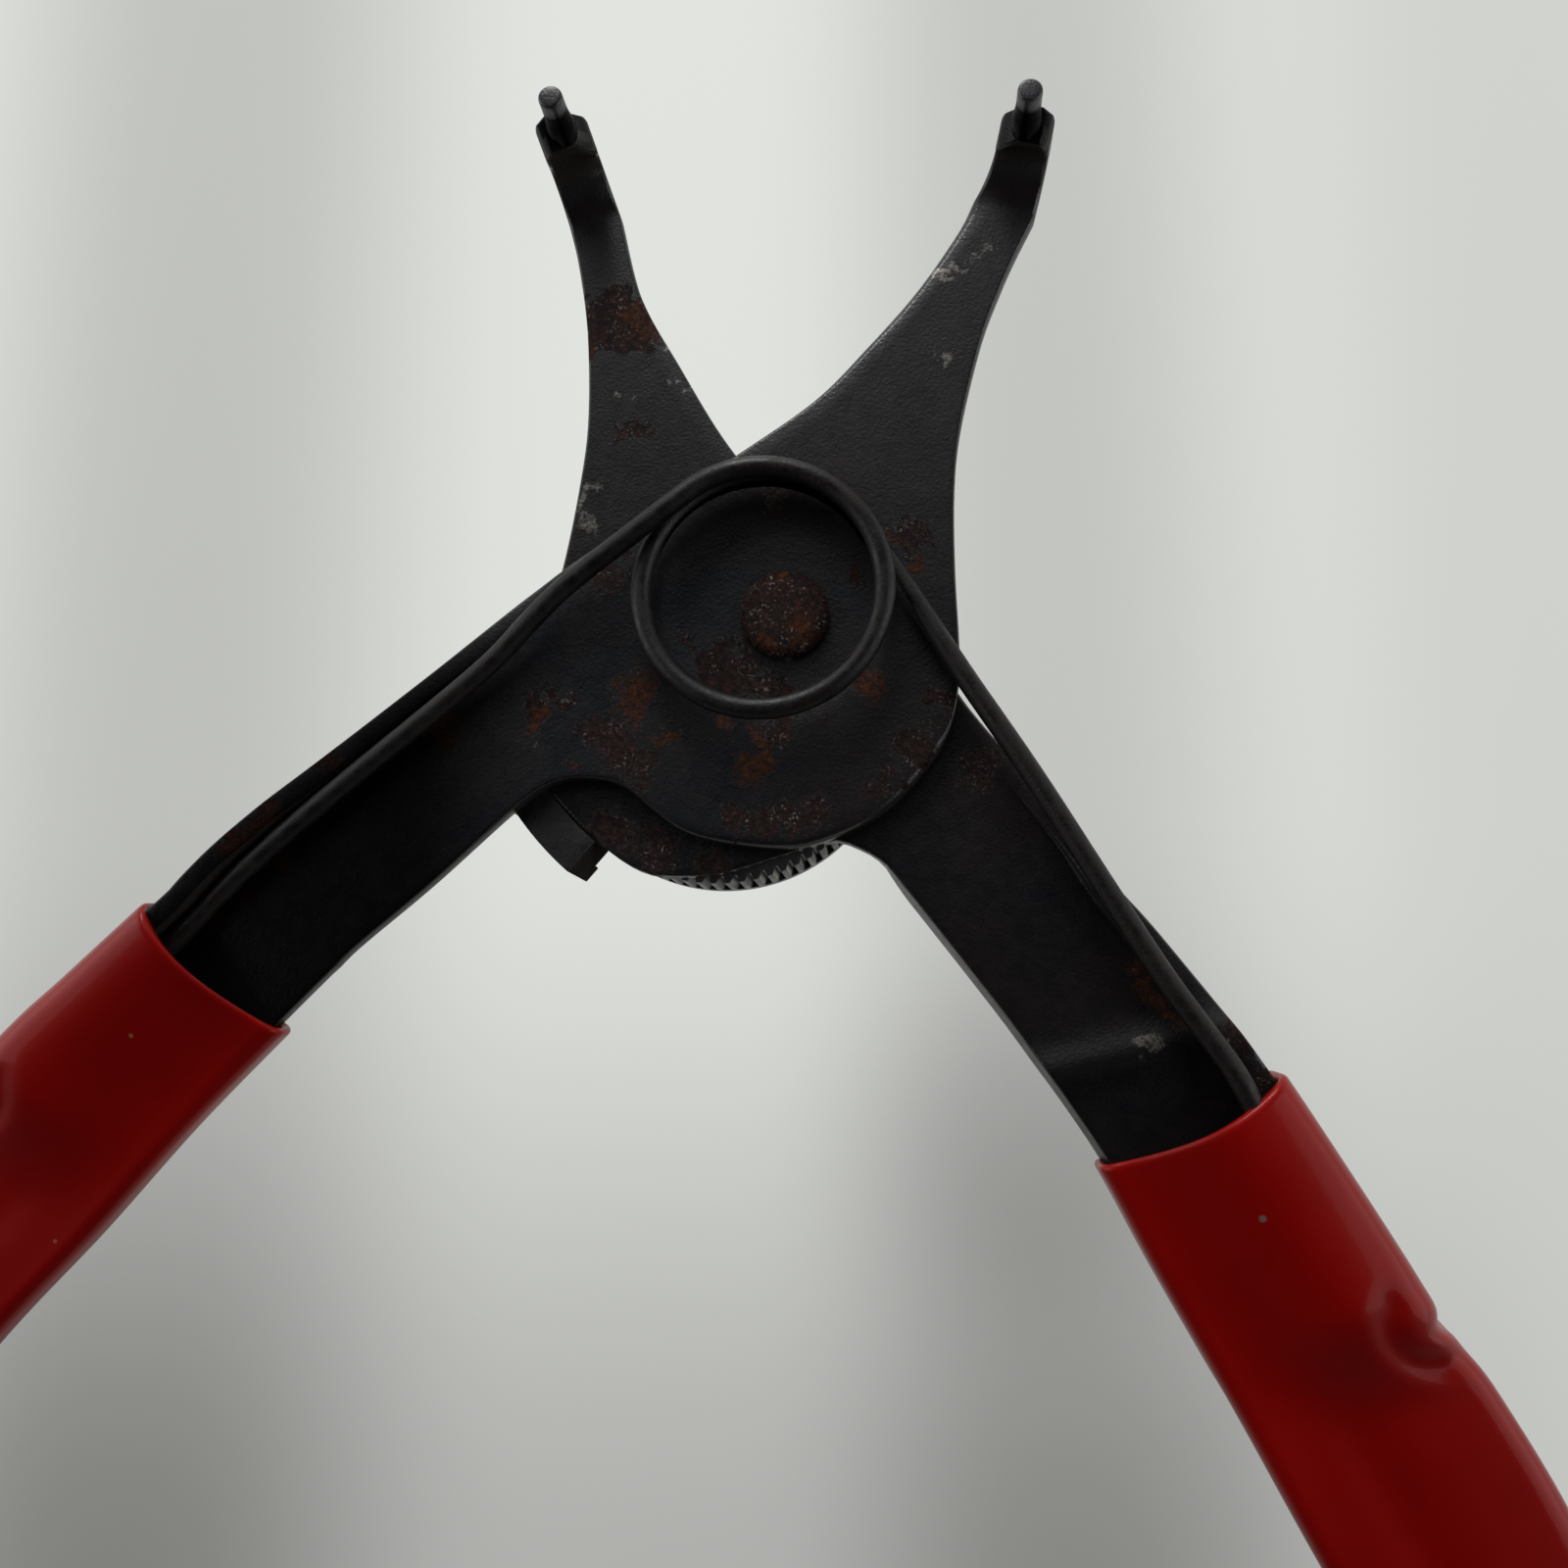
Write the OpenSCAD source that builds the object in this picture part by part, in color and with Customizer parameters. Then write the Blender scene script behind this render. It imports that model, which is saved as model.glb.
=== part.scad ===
// Ratcheting retaining-ring pliers with bent pin tips, shown with the jaws open.
// Origin: pivot axis, on the flat face of the rivet's tail. +Z runs along the rivet to its domed head.
// Front arm = left handle, round lobe and right jaw. Back arm = right handle, rear lobe and left jaw.

/* [Steel arms] */
// Thickness of the stamped steel plates
sheet_t = 2.4; // [2.2:0.1:2.5]
// Running gap between the two plates
plate_gap = 0.1; // [0.05:0.05:0.2]
// Width of the strap that turns up at each jaw tip
strap_w = 6; // [5.5:0.1:7]
// Thickness of the block at the end of each strap
tip_t = 3.2; // [3.1:0.1:3.6]
// Inside radius of the bend at each jaw tip
tip_bend_r = 5; // [4:0.5:5.5]
// Height of the bent tips over the front plate
tip_h = 10; // [9:0.5:12]
// Downward bend of the left handle at its crease
left_bend = 5.9; // [5:0.1:6]
// Downward bend of the right handle at its crease
right_bend = 4.1; // [3.5:0.1:4.2]

/* [Tip pins] */
// Diameter of the round pins that enter the ring's holes
pin_d = 2.74; // [2:0.02:2.8]
// Free length of each pin
pin_free = 5; // [3:0.5:7]

/* [Pivot] */
// Diameter of the rivet's domed head
rivet_head_d = 10; // [9:0.1:11]
// Height of the domed head
rivet_head_h = 1.9; // [1.5:0.1:2.2]
// Diameter of the rivet's shank
rivet_d = 6.8; // [6:0.1:7.5]
// Thickness of the rivet's flat tail
tail_h = 1.8; // [1.4:0.1:1.9]

/* [Return spring] */
// Diameter of the spring wire
wire_d = 2.4; // [2:0.1:2.4]
// Radius of the loop, measured to the middle of the wire
loop_r = 13.6; // [12.8:0.1:14]
// Climb of the wire for each turn of the loop
loop_pitch = 2.9; // [2.85:0.05:3.2]

/* [Ratchet] */
// Radius of the toothed edge about its own centre
rack_r = 20.2; // [19.8:0.1:20.2]
// Spacing of the ratchet teeth
tooth_pitch = 1.6; // [1.4:0.1:2]
// Depth of the ratchet teeth
tooth_h = 0.8; // [0.5:0.1:1]
// Height of the toothed wall below the back plate
rack_h = 8.5; // [8.2:0.1:8.8]
// Radius of the plain rear rim, about the pivot
rim_r = 33; // [32.6:0.1:33]
// Radial width of the pawl
pawl_w = 4.3; // [3.5:0.1:4.5]
// Diameter of the stud that the pawl turns on
stud_d = 3; // [2.6:0.1:3.4]

/* [Vinyl grips] */
// Thickness of the vinyl over the steel
vinyl_t = 1.3; // [1:0.1:1.5]
// Distance from the grip's mouth to the end of the flange inside it
flange_in = 25; // [20:1:34]

/* [Hidden] */

// Levels along the rivet
back_z = tail_h;
back_top = back_z + sheet_t;
front_z = back_top + plate_gap;
front_top = front_z + sheet_t;
rest_z = back_z - rack_h;
tip_top = front_top + tip_h;

// Creases where the handles bend down: outer and inner end of each line, and the line's direction
left_crease = [[-67.4, -30.5], [-50, -39]];
left_crease_dir = atan2(-39 + 30.5, -50 + 67.4);
right_crease = [[46.6, -44.6], [27, -49.2]];
right_crease_dir = atan2(-44.6 + 49.2, 46.6 - 27);

// Each handle's raised flange: direction of the handle, where the ramp starts, its slope and its full height
left_dir = 221;
left_ramp_start = 18;
left_ramp = 4.6;
left_flange_h = 4.7;
right_dir = 306;
right_ramp_start = 30;
right_ramp = 4.7;
right_flange_h = 3.6;
lip_t = 1.5;
lip_h = 2;

// Jaw tips: middle of the strap where its bend starts, and the strap's direction
right_tip = [26.14, 47.94];
right_tip_dir = 75;
left_tip = [-22.9, 50];
left_tip_dir = 109.3;
strap_out = tip_bend_r + sheet_t;
pin_at = strap_out - tip_t / 2;
root_d = pin_d + 0.26;
root_low_d = pin_d - 0.34;
shoulder_in = [1.7, 2.2];
shoulder_out = [0.8, 1.4];
right_flare = [1.5, 0];
left_flare = [0.3, 0];
end_slant = 38;

// Front arm, clockwise from the right strap: jaw's inner edge and shoulder, handle, lobe, jaw's outer edge
front_jaw_inner = [[20.2, 45.9], [15.3, 38.7], [9.5, 32], [3.3, 25.5], [-5.5, 19.3], [-15.4, 12.8]];
left_handle_outer = [[-26.4, 5.3], [-40.5, -6.6], [-51.2, -15.5], [-58.2, -21.2], [-63.5, -26.1],
    left_crease[0]];
left_handle_inner = [left_crease[1], [-47.6, -36.6], [-39.5, -29.8], [-30, -21.2]];
front_notch = [[-25.9, -18.6], [-22, -18.2], [-18.2, -19.1], [-14.7, -21.9]];
front_lobe = [[-11.7, -24.1], [-7.9, -25.4], [-1.5, -26.2], [3.3, -25.8], [10, -22.9], [14.5, -18.8], [17.9, -13.9]];
front_jaw_outer = [[19.3, -8.2], [19.4, -3.5], [19.1, 5], [19.2, 14.2], [20.1, 22], [22.6, 32.2], [24.7, 37.9], [26.6, 42.3]];
left_end_outer = [left_crease[0], [-78.5, -40.2], [-86.6, -47.4], [-105, -66.5], [-120, -85], [-129, -97]];
left_end_inner = [[-115.5, -107.5], [-104, -95.6], [-89.7, -79.3], [-78.5, -67.9], [-67.4, -55.9], [-56.2, -44.9],
    left_crease[1]];

// Back arm, clockwise from the left strap: jaw's inner edge, handle, lobe and jaw's outer edge
back_jaw_inner = [[-17.5, 40.7], [-12.9, 31.9], [-6, 20.3], [3, 10.5], [13, 1]];
right_handle_outer = [[20, -10.5], [26, -18.8], [31.3, -25.2], [35.6, -30.3], [39.2, -34.7], [43.8, -40.8],
    right_crease[0]];
right_handle_inner = [right_crease[1], [23, -43.5], [12.4, -29.7], [10.3, -27.4], [8.1, -26.1]];
back_lobe = [[5.6, -25.2], [3, -25.7], [-0.9, -26.9], [-6.8, -28.6], [-12.7, -29], [-17, -28.1], [-21.7, -24.7]];
back_rim_dirs = [-143, -151, -159];
back_jaw_outer = [[-30.6, -4], [-27.6, 2], [-26, 7.5], [-24.4, 16.4], [-23.5, 24.9], [-23.8, 36], [-25, 44.5]];
right_end_outer = [right_crease[0], [51.1, -50.9], [59.2, -63.9], [66.2, -75.5], [72, -84.6], [77.8, -95], [84.8, -110.5],
    [91, -126.5]];
right_end_inner = [[75.5, -134.5], [66, -117.8], [56.4, -100.9], [48.1, -85.4], [40.2, -71.2], [33.9, -59.4],
    right_crease[1]];

// Return spring: loop centre, the angles where the legs leave it, and the route of each leg in plan with its height
loop_c = [-2.3, 2.1];
leg_in_angle = 125;
leg_out_angle = 31.7 - 360;
loop_low_z = front_top + 0.45 + wire_d / 2;
left_leg = [
    [-80.9, -50.1, 6], [-75.5, -44.3, 6.75], [-71.2, -39.6, 7.4], [-66.6, -34.9, 8], [-60.9, -29, 8.25],
    [-55.7, -24.3, 8.35], [-48.9, -18.6, 8.5], [-38.1, -9.8, 8.7], [-32.4, -5, 9.1], [-28.6, -1.1, 9.6],
    [-24.3, 2.9, 10.3], [-17.5, 7.8, 11.4], [-13.2, 10.9, 11.9]
];
right_leg = [
    [12.7, 3.9, 8.35], [19.4, -7.1, 8.4], [26.8, -18.7, 8.5], [34.7, -31.9, 8.5], [40.5, -41.3, 8.5], [46.3, -49.6, 8.4],
    [48.9, -54.6, 8.1], [51.6, -60, 7.4], [54.4, -65.6, 6.6], [57.3, -71.2, 6]
];

// Ratchet: centre of the toothed edge, first and last tooth angle about it, and the sector's wall
rack_c = [-7.9, -9.4];
rack_first = -125;
rack_last = -46;
rack_wall = 3.2;
rack_plain = 1.5;
pawl_gap = 0.3;
pawl_end = -131;
pawl_root = -163;
stud_r0 = rim_r + 5;
stud_at = stud_r0 * [cos(pawl_root), sin(pawl_root)];
pawl_boss_r = 3.6;
pawl_top = front_z - 0.3;
pawl_step_z = -4.6;
pawl_lip_z = rest_z + 0.2;
pawl_bore_gap = 0.05;
stud_head_r = 3;
stud_head_h = 1.1;
pawl_boss_z = rest_z + 1.5;

// Leaf spring that presses the pawl inward: a curved blade with a root pad under the left handle
blade_t = 0.5;
blade_w = 3.5;
blade_z = -2.6;
blade_r = 12;
blade_dir = -148;
blade_c = (rim_r + pawl_gap + pawl_w + 0.1 + blade_t / 2 + blade_r) * [cos(blade_dir), sin(blade_dir)];
blade_first = blade_dir + 180 - 5;
blade_sweep = 60;

// Grip mouths: a point on each mouth line and the line's direction; then the rounded ends and the raised ridges
left_mouth = [-62.8, -41.3];
left_mouth_dir = -34;
right_mouth = [41.2, -57.7];
right_mouth_dir = 18;
left_grip_end = [[-130.6, -99.4], [-128.6, -103.4], [-123.8, -107], [-118.9, -109.7], [-115.4, -109.4]];
right_grip_end = [[92.1, -129.8], [90.2, -133.1], [84.6, -135.4], [79.2, -136.9], [75.6, -136.6]];
ridge_w = 8.5;
ridge_lead = 3.5;
bore_r = wire_d / 2 + 0.4;

// Catmull-Rom point between b and c
function blend_point(a, b, c, d, t) =
    0.5 * (2 * b + (c - a) * t + (2 * a - 5 * b + 4 * c - d) * t * t + (3 * b - a - 3 * c + d) * t * t * t);

// Smooth run through every point of a list, with n steps between neighbours
function smooth(p, n) = [
    for (i = [0 : len(p) - 2], k = [0 : n - 1])
        blend_point(p[max(i - 1, 0)], p[i], p[i + 1], p[min(i + 2, len(p) - 1)], k / n),
    p[len(p) - 1]
];

function unit(v) = v / norm(v);
function polar(r, a) = r * [cos(a), sin(a)];
function arc(c, r, a, b, n) = [for (k = [0 : n]) c + polar(r, a + (b - a) * k / n)];
function reversed(p) = [for (i = [len(p) - 1 : -1 : 0]) p[i]];

// Line beside a path, a distance d to the left of its direction
function beside(p, d) = [
    for (i = [0 : len(p) - 1])
        let (u = unit(p[min(i + 1, len(p) - 1)] - p[max(i - 1, 0)])) p[i] + d * [-u[1], u[0]]
];

// Corners where a strap meets its jaw, with the strap's flare there: side 1 is to the right of its direction
function strap_corner(base, dir, side, flare = 0) =
    base + side * (strap_w / 2 + flare - 0.04) * [sin(dir), -cos(dir)];

// Carries the outer end of a handle down about its crease
module bent(crease, crease_dir, angle, z) {
    translate([crease[1][0], crease[1][1], z])
        rotate([0, 0, crease_dir])
            rotate([angle, 0, 0])
                rotate([0, 0, -crease_dir])
                    translate([-crease[1][0], -crease[1][1], -z])
                        children();
}

// Everything under a plane that climbs (or falls) away from the pivot along one direction
module under_ramp(dir, start, z, angle) {
    rotate([0, 0, dir])
        translate([start, 0, z])
            rotate([0, -angle, 0])
                translate([-150, -120, -60])
                    cube([400, 240, 60]);
}

// Space beyond a grip's mouth, from one distance to another, measured square to the mouth
module past_mouth(mouth, mouth_dir, from, to) {
    translate([mouth[0], mouth[1], -60])
        rotate([0, 0, mouth_dir])
            translate([-80, -to, 0])
                cube([160, to - from, 120]);
}

// Strip of a given width along the left of a path, raised from a level
module strip(edge, width, z, height) {
    translate([0, 0, z])
        linear_extrude(height)
            polygon(concat(edge, reversed(beside(edge, width))));
}

// Tube swept along a run of points, six-sided, closed at both ends
module tube(path, radius) {
    n = len(path);
    dirs = [for (i = [0 : n - 1]) unit(path[min(i + 1, n - 1)] - path[max(i - 1, 0)])];
    points = [
        for (i = [0 : n - 1])
            let (side = unit(cross([0, 0, 1], dirs[i])), up = cross(dirs[i], side))
                for (k = [0 : 5]) path[i] + radius * (cos(60 * k) * side + sin(60 * k) * up)
    ];
    last = 6 * (n - 1);
    polyhedron(
        points = points,
        faces = concat(
            [for (k = [1 : 4]) [0, k, k + 1]],
            [for (k = [1 : 4]) [last, last + k + 1, last + k]],
            [for (i = [0 : n - 2], k = [0 : 5]) [6 * i + k, 6 * i + 6 + k, 6 * i + (k + 1) % 6]],
            [for (i = [0 : n - 2], k = [0 : 5])
                [6 * i + (k + 1) % 6, 6 * i + 6 + k, 6 * i + 6 + (k + 1) % 6]]
        )
    );
}

// Bend of a jaw's strap, from the plate up to the block, wider at its root by a flare to the left and right
module strap_bend(flare) {
    n = 12;
    points = [
        for (i = [0 : n])
            let (turn = 90 * i / n, wide = pow(1 - i / n, 2), left = strap_w / 2 + flare[0] * wide,
                right = -strap_w / 2 - flare[1] * wide)
                for (c = [[tip_bend_r, left], [tip_bend_r, right], [strap_out, right], [strap_out, left]])
                    [c[0] * sin(turn), c[1], -c[0] * cos(turn)]
    ];
    last = 4 * n;
    polyhedron(
        points = points,
        faces = concat(
            [for (k = [1 : 2]) [0, k, k + 1]],
            [for (k = [1 : 2]) [last, last + k + 1, last + k]],
            [for (i = [0 : n - 1], k = [0 : 3]) [4 * i + k, 4 * i + 4 + k, 4 * i + (k + 1) % 4]],
            [for (i = [0 : n - 1], k = [0 : 3])
                [4 * i + (k + 1) % 4, 4 * i + 4 + k, 4 * i + 4 + (k + 1) % 4]]
        )
    );
}

// Bend and upright end of a jaw's strap, with ground shoulders (the inner one larger) and a slanted end face
module jaw_tip(base, dir, plate_top, inner, flare) {
    rise = tip_top - plate_top - tip_bend_r;
    half = strap_w / 2;
    translate([base[0], base[1], plate_top + tip_bend_r])
        rotate([0, 0, dir]) {
            strap_bend(flare);
            difference() {
                translate([strap_out - tip_t, 0, 0])
                    rotate([90, 0, 90])
                        linear_extrude(tip_t)
                            scale([inner, 1])
                                polygon([
                                    [-half, 0], [half, 0], [half, rise - shoulder_in[1]],
                                    [half - shoulder_in[0], rise], [shoulder_out[0] - half, rise],
                                    [-half, rise - shoulder_out[1]]
                                ]);
                translate([strap_out, 0, rise])
                    rotate([0, -end_slant, 0])
                        translate([-20, -10, 0])
                            cube([40, 20, 20]);
            }
        }
}

// Place of a tip pin, at the middle of the block's thickness
module at_pin(base, dir, z) {
    translate([base[0] + pin_at * cos(dir), base[1] + pin_at * sin(dir), z])
        children();
}

// Hardened pin: a tapered root driven into the block, then the free pin with a broken edge
module tip_pin(base, dir) {
    color("dimgray")
        at_pin(base, dir, tip_top - 4)
            rotate_extrude($fn = 48)
                polygon([
                    [0, 0], [root_low_d / 2, 0], [root_d / 2, 4], [pin_d / 2, 4.35], [pin_d / 2, 3.8 + pin_free],
                    [pin_d / 2 - 0.2, 4 + pin_free], [0, 4 + pin_free]
                ]);
}

module pin_hole(base, dir) {
    at_pin(base, dir, tip_top - 4)
        cylinder(d1 = root_low_d, d2 = root_low_d + 1.5 * (root_d - root_low_d), h = 6, $fn = 48);
}

// Covered end of the left handle, with the last of its flange
module left_end() {
    bent(left_crease, left_crease_dir, left_bend, front_top) {
        translate([0, 0, front_z])
            linear_extrude(sheet_t)
                polygon(concat(smooth(left_end_outer, 3), smooth(left_end_inner, 3)));
        intersection() {
            strip(smooth(left_end_outer, 3), sheet_t, front_z, sheet_t + left_flange_h);
            under_ramp(left_dir, left_ramp_start, front_top, left_ramp);
            past_mouth(left_mouth, left_mouth_dir, -30, flange_in);
        }
    }
}

module front_arm() {
    color("darkslategray")
        difference() {
            union() {
                translate([0, 0, front_z])
                    linear_extrude(sheet_t)
                        polygon(concat(
                            smooth(concat([strap_corner(right_tip, right_tip_dir, -1, right_flare[0])], front_jaw_inner), 4),
                            smooth(left_handle_outer, 3),
                            smooth(concat(left_handle_inner, front_notch, front_lobe, front_jaw_outer,
                                [strap_corner(right_tip, right_tip_dir, 1)]), 4)
                        ));
                intersection() {
                    strip(smooth(left_handle_outer, 3), sheet_t, front_z, sheet_t + left_flange_h);
                    under_ramp(left_dir, left_ramp_start, front_top, left_ramp);
                }
                left_end();
                jaw_tip(right_tip, right_tip_dir, front_top, 1, right_flare);
            }
            translate([0, 0, front_z - 1])
                cylinder(d = rivet_d + 0.1, h = sheet_t + 2, $fn = 64);
            pin_hole(right_tip, right_tip_dir);
        }
}

// Covered end of the right handle, with the last of its flange and its turned-down lip
module right_end() {
    bent(right_crease, right_crease_dir, right_bend, back_top) {
        translate([0, 0, back_z])
            linear_extrude(sheet_t)
                polygon(concat(smooth(right_end_outer, 3), smooth(right_end_inner, 3)));
        intersection() {
            strip(reversed(smooth(right_end_outer, 3)), sheet_t, back_z, sheet_t + right_flange_h);
            under_ramp(right_dir, right_ramp_start, back_top, right_ramp);
            past_mouth(right_mouth, right_mouth_dir, -30, flange_in);
        }
        intersection() {
            strip(reversed(smooth(right_end_inner, 3)), lip_t, back_z - lip_h, lip_h + sheet_t);
            past_mouth(right_mouth, right_mouth_dir, -30, flange_in);
        }
    }
}

module back_arm() {
    color("saddlebrown")
        difference() {
            union() {
                translate([0, 0, back_z])
                    linear_extrude(sheet_t)
                        polygon(concat(
                            smooth(concat([strap_corner(left_tip, left_tip_dir, 1)], back_jaw_inner,
                                right_handle_outer), 4),
                            smooth(concat(right_handle_inner, back_lobe,
                                [for (a = back_rim_dirs) polar(rim_r, a)], back_jaw_outer,
                                [strap_corner(left_tip, left_tip_dir, -1, left_flare[0])]), 4)
                        ));
                intersection() {
                    strip(reversed(smooth(right_handle_outer, 3)), sheet_t, back_z, sheet_t + right_flange_h);
                    under_ramp(right_dir, right_ramp_start, back_top, right_ramp);
                }
                strip(reversed(smooth(right_handle_inner, 3)), lip_t, back_z - lip_h, lip_h + sheet_t);
                right_end();
                jaw_tip(left_tip, left_tip_dir, back_top, -1, left_flare);
            }
            translate([0, 0, back_z - 1])
                cylinder(d = rivet_d, h = sheet_t + 2, $fn = 64);
            pin_hole(left_tip, left_tip_dir);
        }
}

// Rivet: flat tail, shank and domed head
module pivot_rivet() {
    z = front_top + 0.05;
    color("sienna")
        rotate_extrude($fn = 72)
            polygon(concat(
                [[0, 0], [4.6, 0], [4.6, tail_h], [rivet_d / 2, tail_h], [rivet_d / 2, z], [rivet_head_d / 2 - 0.1, z]],
                smooth([
                    [rivet_head_d / 2, z + 0.3], [rivet_head_d / 2 - 0.3, z + 0.9],
                    [rivet_head_d / 2 - 1.3, z + rivet_head_h - 0.45], [rivet_head_d / 2 - 2.8, z + rivet_head_h - 0.1],
                    [0, z + rivet_head_h]
                ], 3)
            ));
}

// Route of the spring wire from the end inside the left grip, round the loop, to the end inside the right grip
loop_turns = (leg_in_angle - leg_out_angle) / 360;
loop_top_z = loop_low_z + loop_pitch * loop_turns;
loop_steps = round(24 * loop_turns);
loop_route = [
    for (k = [0 : loop_steps])
        let (a = leg_in_angle - 360 * loop_turns * k / loop_steps, p = loop_c + polar(loop_r, a))
            [p[0], p[1], loop_top_z - loop_pitch * loop_turns * k / loop_steps]
];
wire_route = concat(smooth(left_leg, 2), loop_route, smooth(right_leg, 2));

// Least clear gap between two turns of the loop
loop_gap = min([
    for (i = [0 : loop_steps - 16], j = [i + 16 : loop_steps]) norm(loop_route[i] - loop_route[j])
]) - wire_d;

module return_spring() {
    echo(wire_gap = loop_gap);
    color("silver")
        tube(wire_route, wire_d / 2);
}

// Dipped vinyl over the left handle and the spring's left leg
module left_grip() {
    color("crimson")
        difference() {
            bent(left_crease, left_crease_dir, left_bend, front_top) {
                intersection() {
                    translate([0, 0, front_z - vinyl_t])
                        linear_extrude(sheet_t + 2 * vinyl_t)
                            polygon(concat(
                                beside(smooth(left_end_outer, 3), -vinyl_t),
                                left_grip_end,
                                beside(smooth(left_end_inner, 3), -vinyl_t)
                            ));
                    past_mouth(left_mouth, left_mouth_dir, 0, 200);
                }
                intersection() {
                    strip(beside(smooth(left_end_outer, 3), -vinyl_t), ridge_w, front_z - vinyl_t,
                        sheet_t + left_flange_h + 2 * vinyl_t);
                    past_mouth(left_mouth, left_mouth_dir, -ridge_lead, flange_in + 2);
                }
            }
            left_end();
            tube(smooth([for (i = [0 : 5]) left_leg[i]], 2), bore_r);
        }
}

// Dipped vinyl over the right handle and the spring's right leg
module right_grip() {
    legs = len(right_leg);
    color("crimson")
        difference() {
            bent(right_crease, right_crease_dir, right_bend, back_top) {
                intersection() {
                    translate([0, 0, back_z - vinyl_t])
                        linear_extrude(sheet_t + 2 * vinyl_t)
                            polygon(concat(
                                beside(smooth(right_end_outer, 3), vinyl_t),
                                right_grip_end,
                                beside(smooth(right_end_inner, 3), vinyl_t)
                            ));
                    past_mouth(right_mouth, right_mouth_dir, 0, 200);
                }
                intersection() {
                    strip(reversed(beside(smooth(right_end_outer, 3), vinyl_t)), ridge_w, back_z - vinyl_t,
                        sheet_t + vinyl_t + 8);
                    past_mouth(right_mouth, right_mouth_dir, -ridge_lead, flange_in + 2);
                    under_ramp(right_dir, 70, back_top + 7, -3.4);
                }
                intersection() {
                    strip(reversed(beside(smooth(right_end_inner, 3), vinyl_t)), lip_t + 2 * vinyl_t,
                        back_z - lip_h - vinyl_t, lip_h + vinyl_t);
                    past_mouth(right_mouth, right_mouth_dir, 0, flange_in + vinyl_t);
                }
            }
            right_end();
            tube(smooth([for (i = [legs - 6 : legs - 1]) right_leg[i]], 2), bore_r);
        }
}

// Toothed wall under the back arm, with a plain foot
module ratchet_sector() {
    n = floor((rack_last - rack_first) * PI * rack_r / 180 / tooth_pitch);
    step = (rack_last - rack_first) / n;
    color("slategray")
        translate([rack_c[0], rack_c[1], rest_z])
            difference() {
                rotate([0, 0, rack_first])
                    rotate_extrude(angle = rack_last - rack_first, $fn = 96)
                        translate([rack_r - rack_wall, 0])
                            square([rack_wall, rack_h]);
                for (i = [0 : n - 1])
                    rotate([0, 0, rack_first + step * i])
                        translate([0, 0, rack_plain])
                            linear_extrude(rack_h)
                                polygon([
                                    polar(rack_r + 0.3, step * 0.22), polar(rack_r - tooth_h, step * 0.72),
                                    polar(rack_r - tooth_h, step * 0.86), polar(rack_r + 0.3, step * 0.98)
                                ]);
            }
}

// Curved pawl under the left handle: boss, arm and the deeper outer lip that a finger pushes
module ratchet_pawl() {
    inner = rim_r + pawl_gap;
    color("gainsboro")
        difference() {
            union() {
                rotate([0, 0, pawl_root + 3])
                    rotate_extrude(angle = pawl_end - pawl_root - 3, $fn = 120)
                        polygon([
                            [inner, pawl_step_z], [inner + pawl_w / 2, pawl_step_z], [inner + pawl_w / 2, pawl_lip_z],
                            [inner + pawl_w, pawl_lip_z], [inner + pawl_w, pawl_top], [inner, pawl_top]
                        ]);
                translate([stud_at[0], stud_at[1], pawl_boss_z])
                    cylinder(r = pawl_boss_r, h = pawl_top + 0.1 - pawl_boss_z, $fn = 48);
            }
            translate([stud_at[0], stud_at[1], rest_z - 1])
                cylinder(d = stud_d + 2 * pawl_bore_gap, h = 20, $fn = 48);
            translate([stud_at[0], stud_at[1], rest_z - 1])
                cylinder(r = stud_head_r + 0.6, h = pawl_boss_z - rest_z + 1, $fn = 48);
        }
}

// Headed stud welded under the front arm
module pawl_stud() {
    z = pawl_boss_z - 0.1;
    color("dimgray")
        translate([stud_at[0], stud_at[1], 0]) {
            translate([0, 0, z - 0.1])
                cylinder(d = stud_d, h = front_z - z + 0.1, $fn = 48);
            translate([0, 0, z - stud_head_h])
                cylinder(r = stud_head_r, h = stud_head_h, $fn = 48);
        }
}

module pawl_spring() {
    color("silver")
        translate([blade_c[0], blade_c[1], blade_z]) {
            rotate([0, 0, blade_first])
                rotate_extrude(angle = blade_sweep, $fn = 180)
                    translate([blade_r - blade_t / 2, 0])
                        square([blade_t, blade_w]);
            translate([blade_r * cos(blade_first + blade_sweep), blade_r * sin(blade_first + blade_sweep), 0])
                cylinder(r = 1, h = front_z - blade_z, $fn = 24);
        }
}

front_arm();
back_arm();
pivot_rivet();
tip_pin(left_tip, left_tip_dir);  // left_tip_pin
tip_pin(right_tip, right_tip_dir);  // right_tip_pin
return_spring();
left_grip();
right_grip();
ratchet_sector();
ratchet_pawl();
pawl_stud();
pawl_spring();
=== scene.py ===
import math

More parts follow.
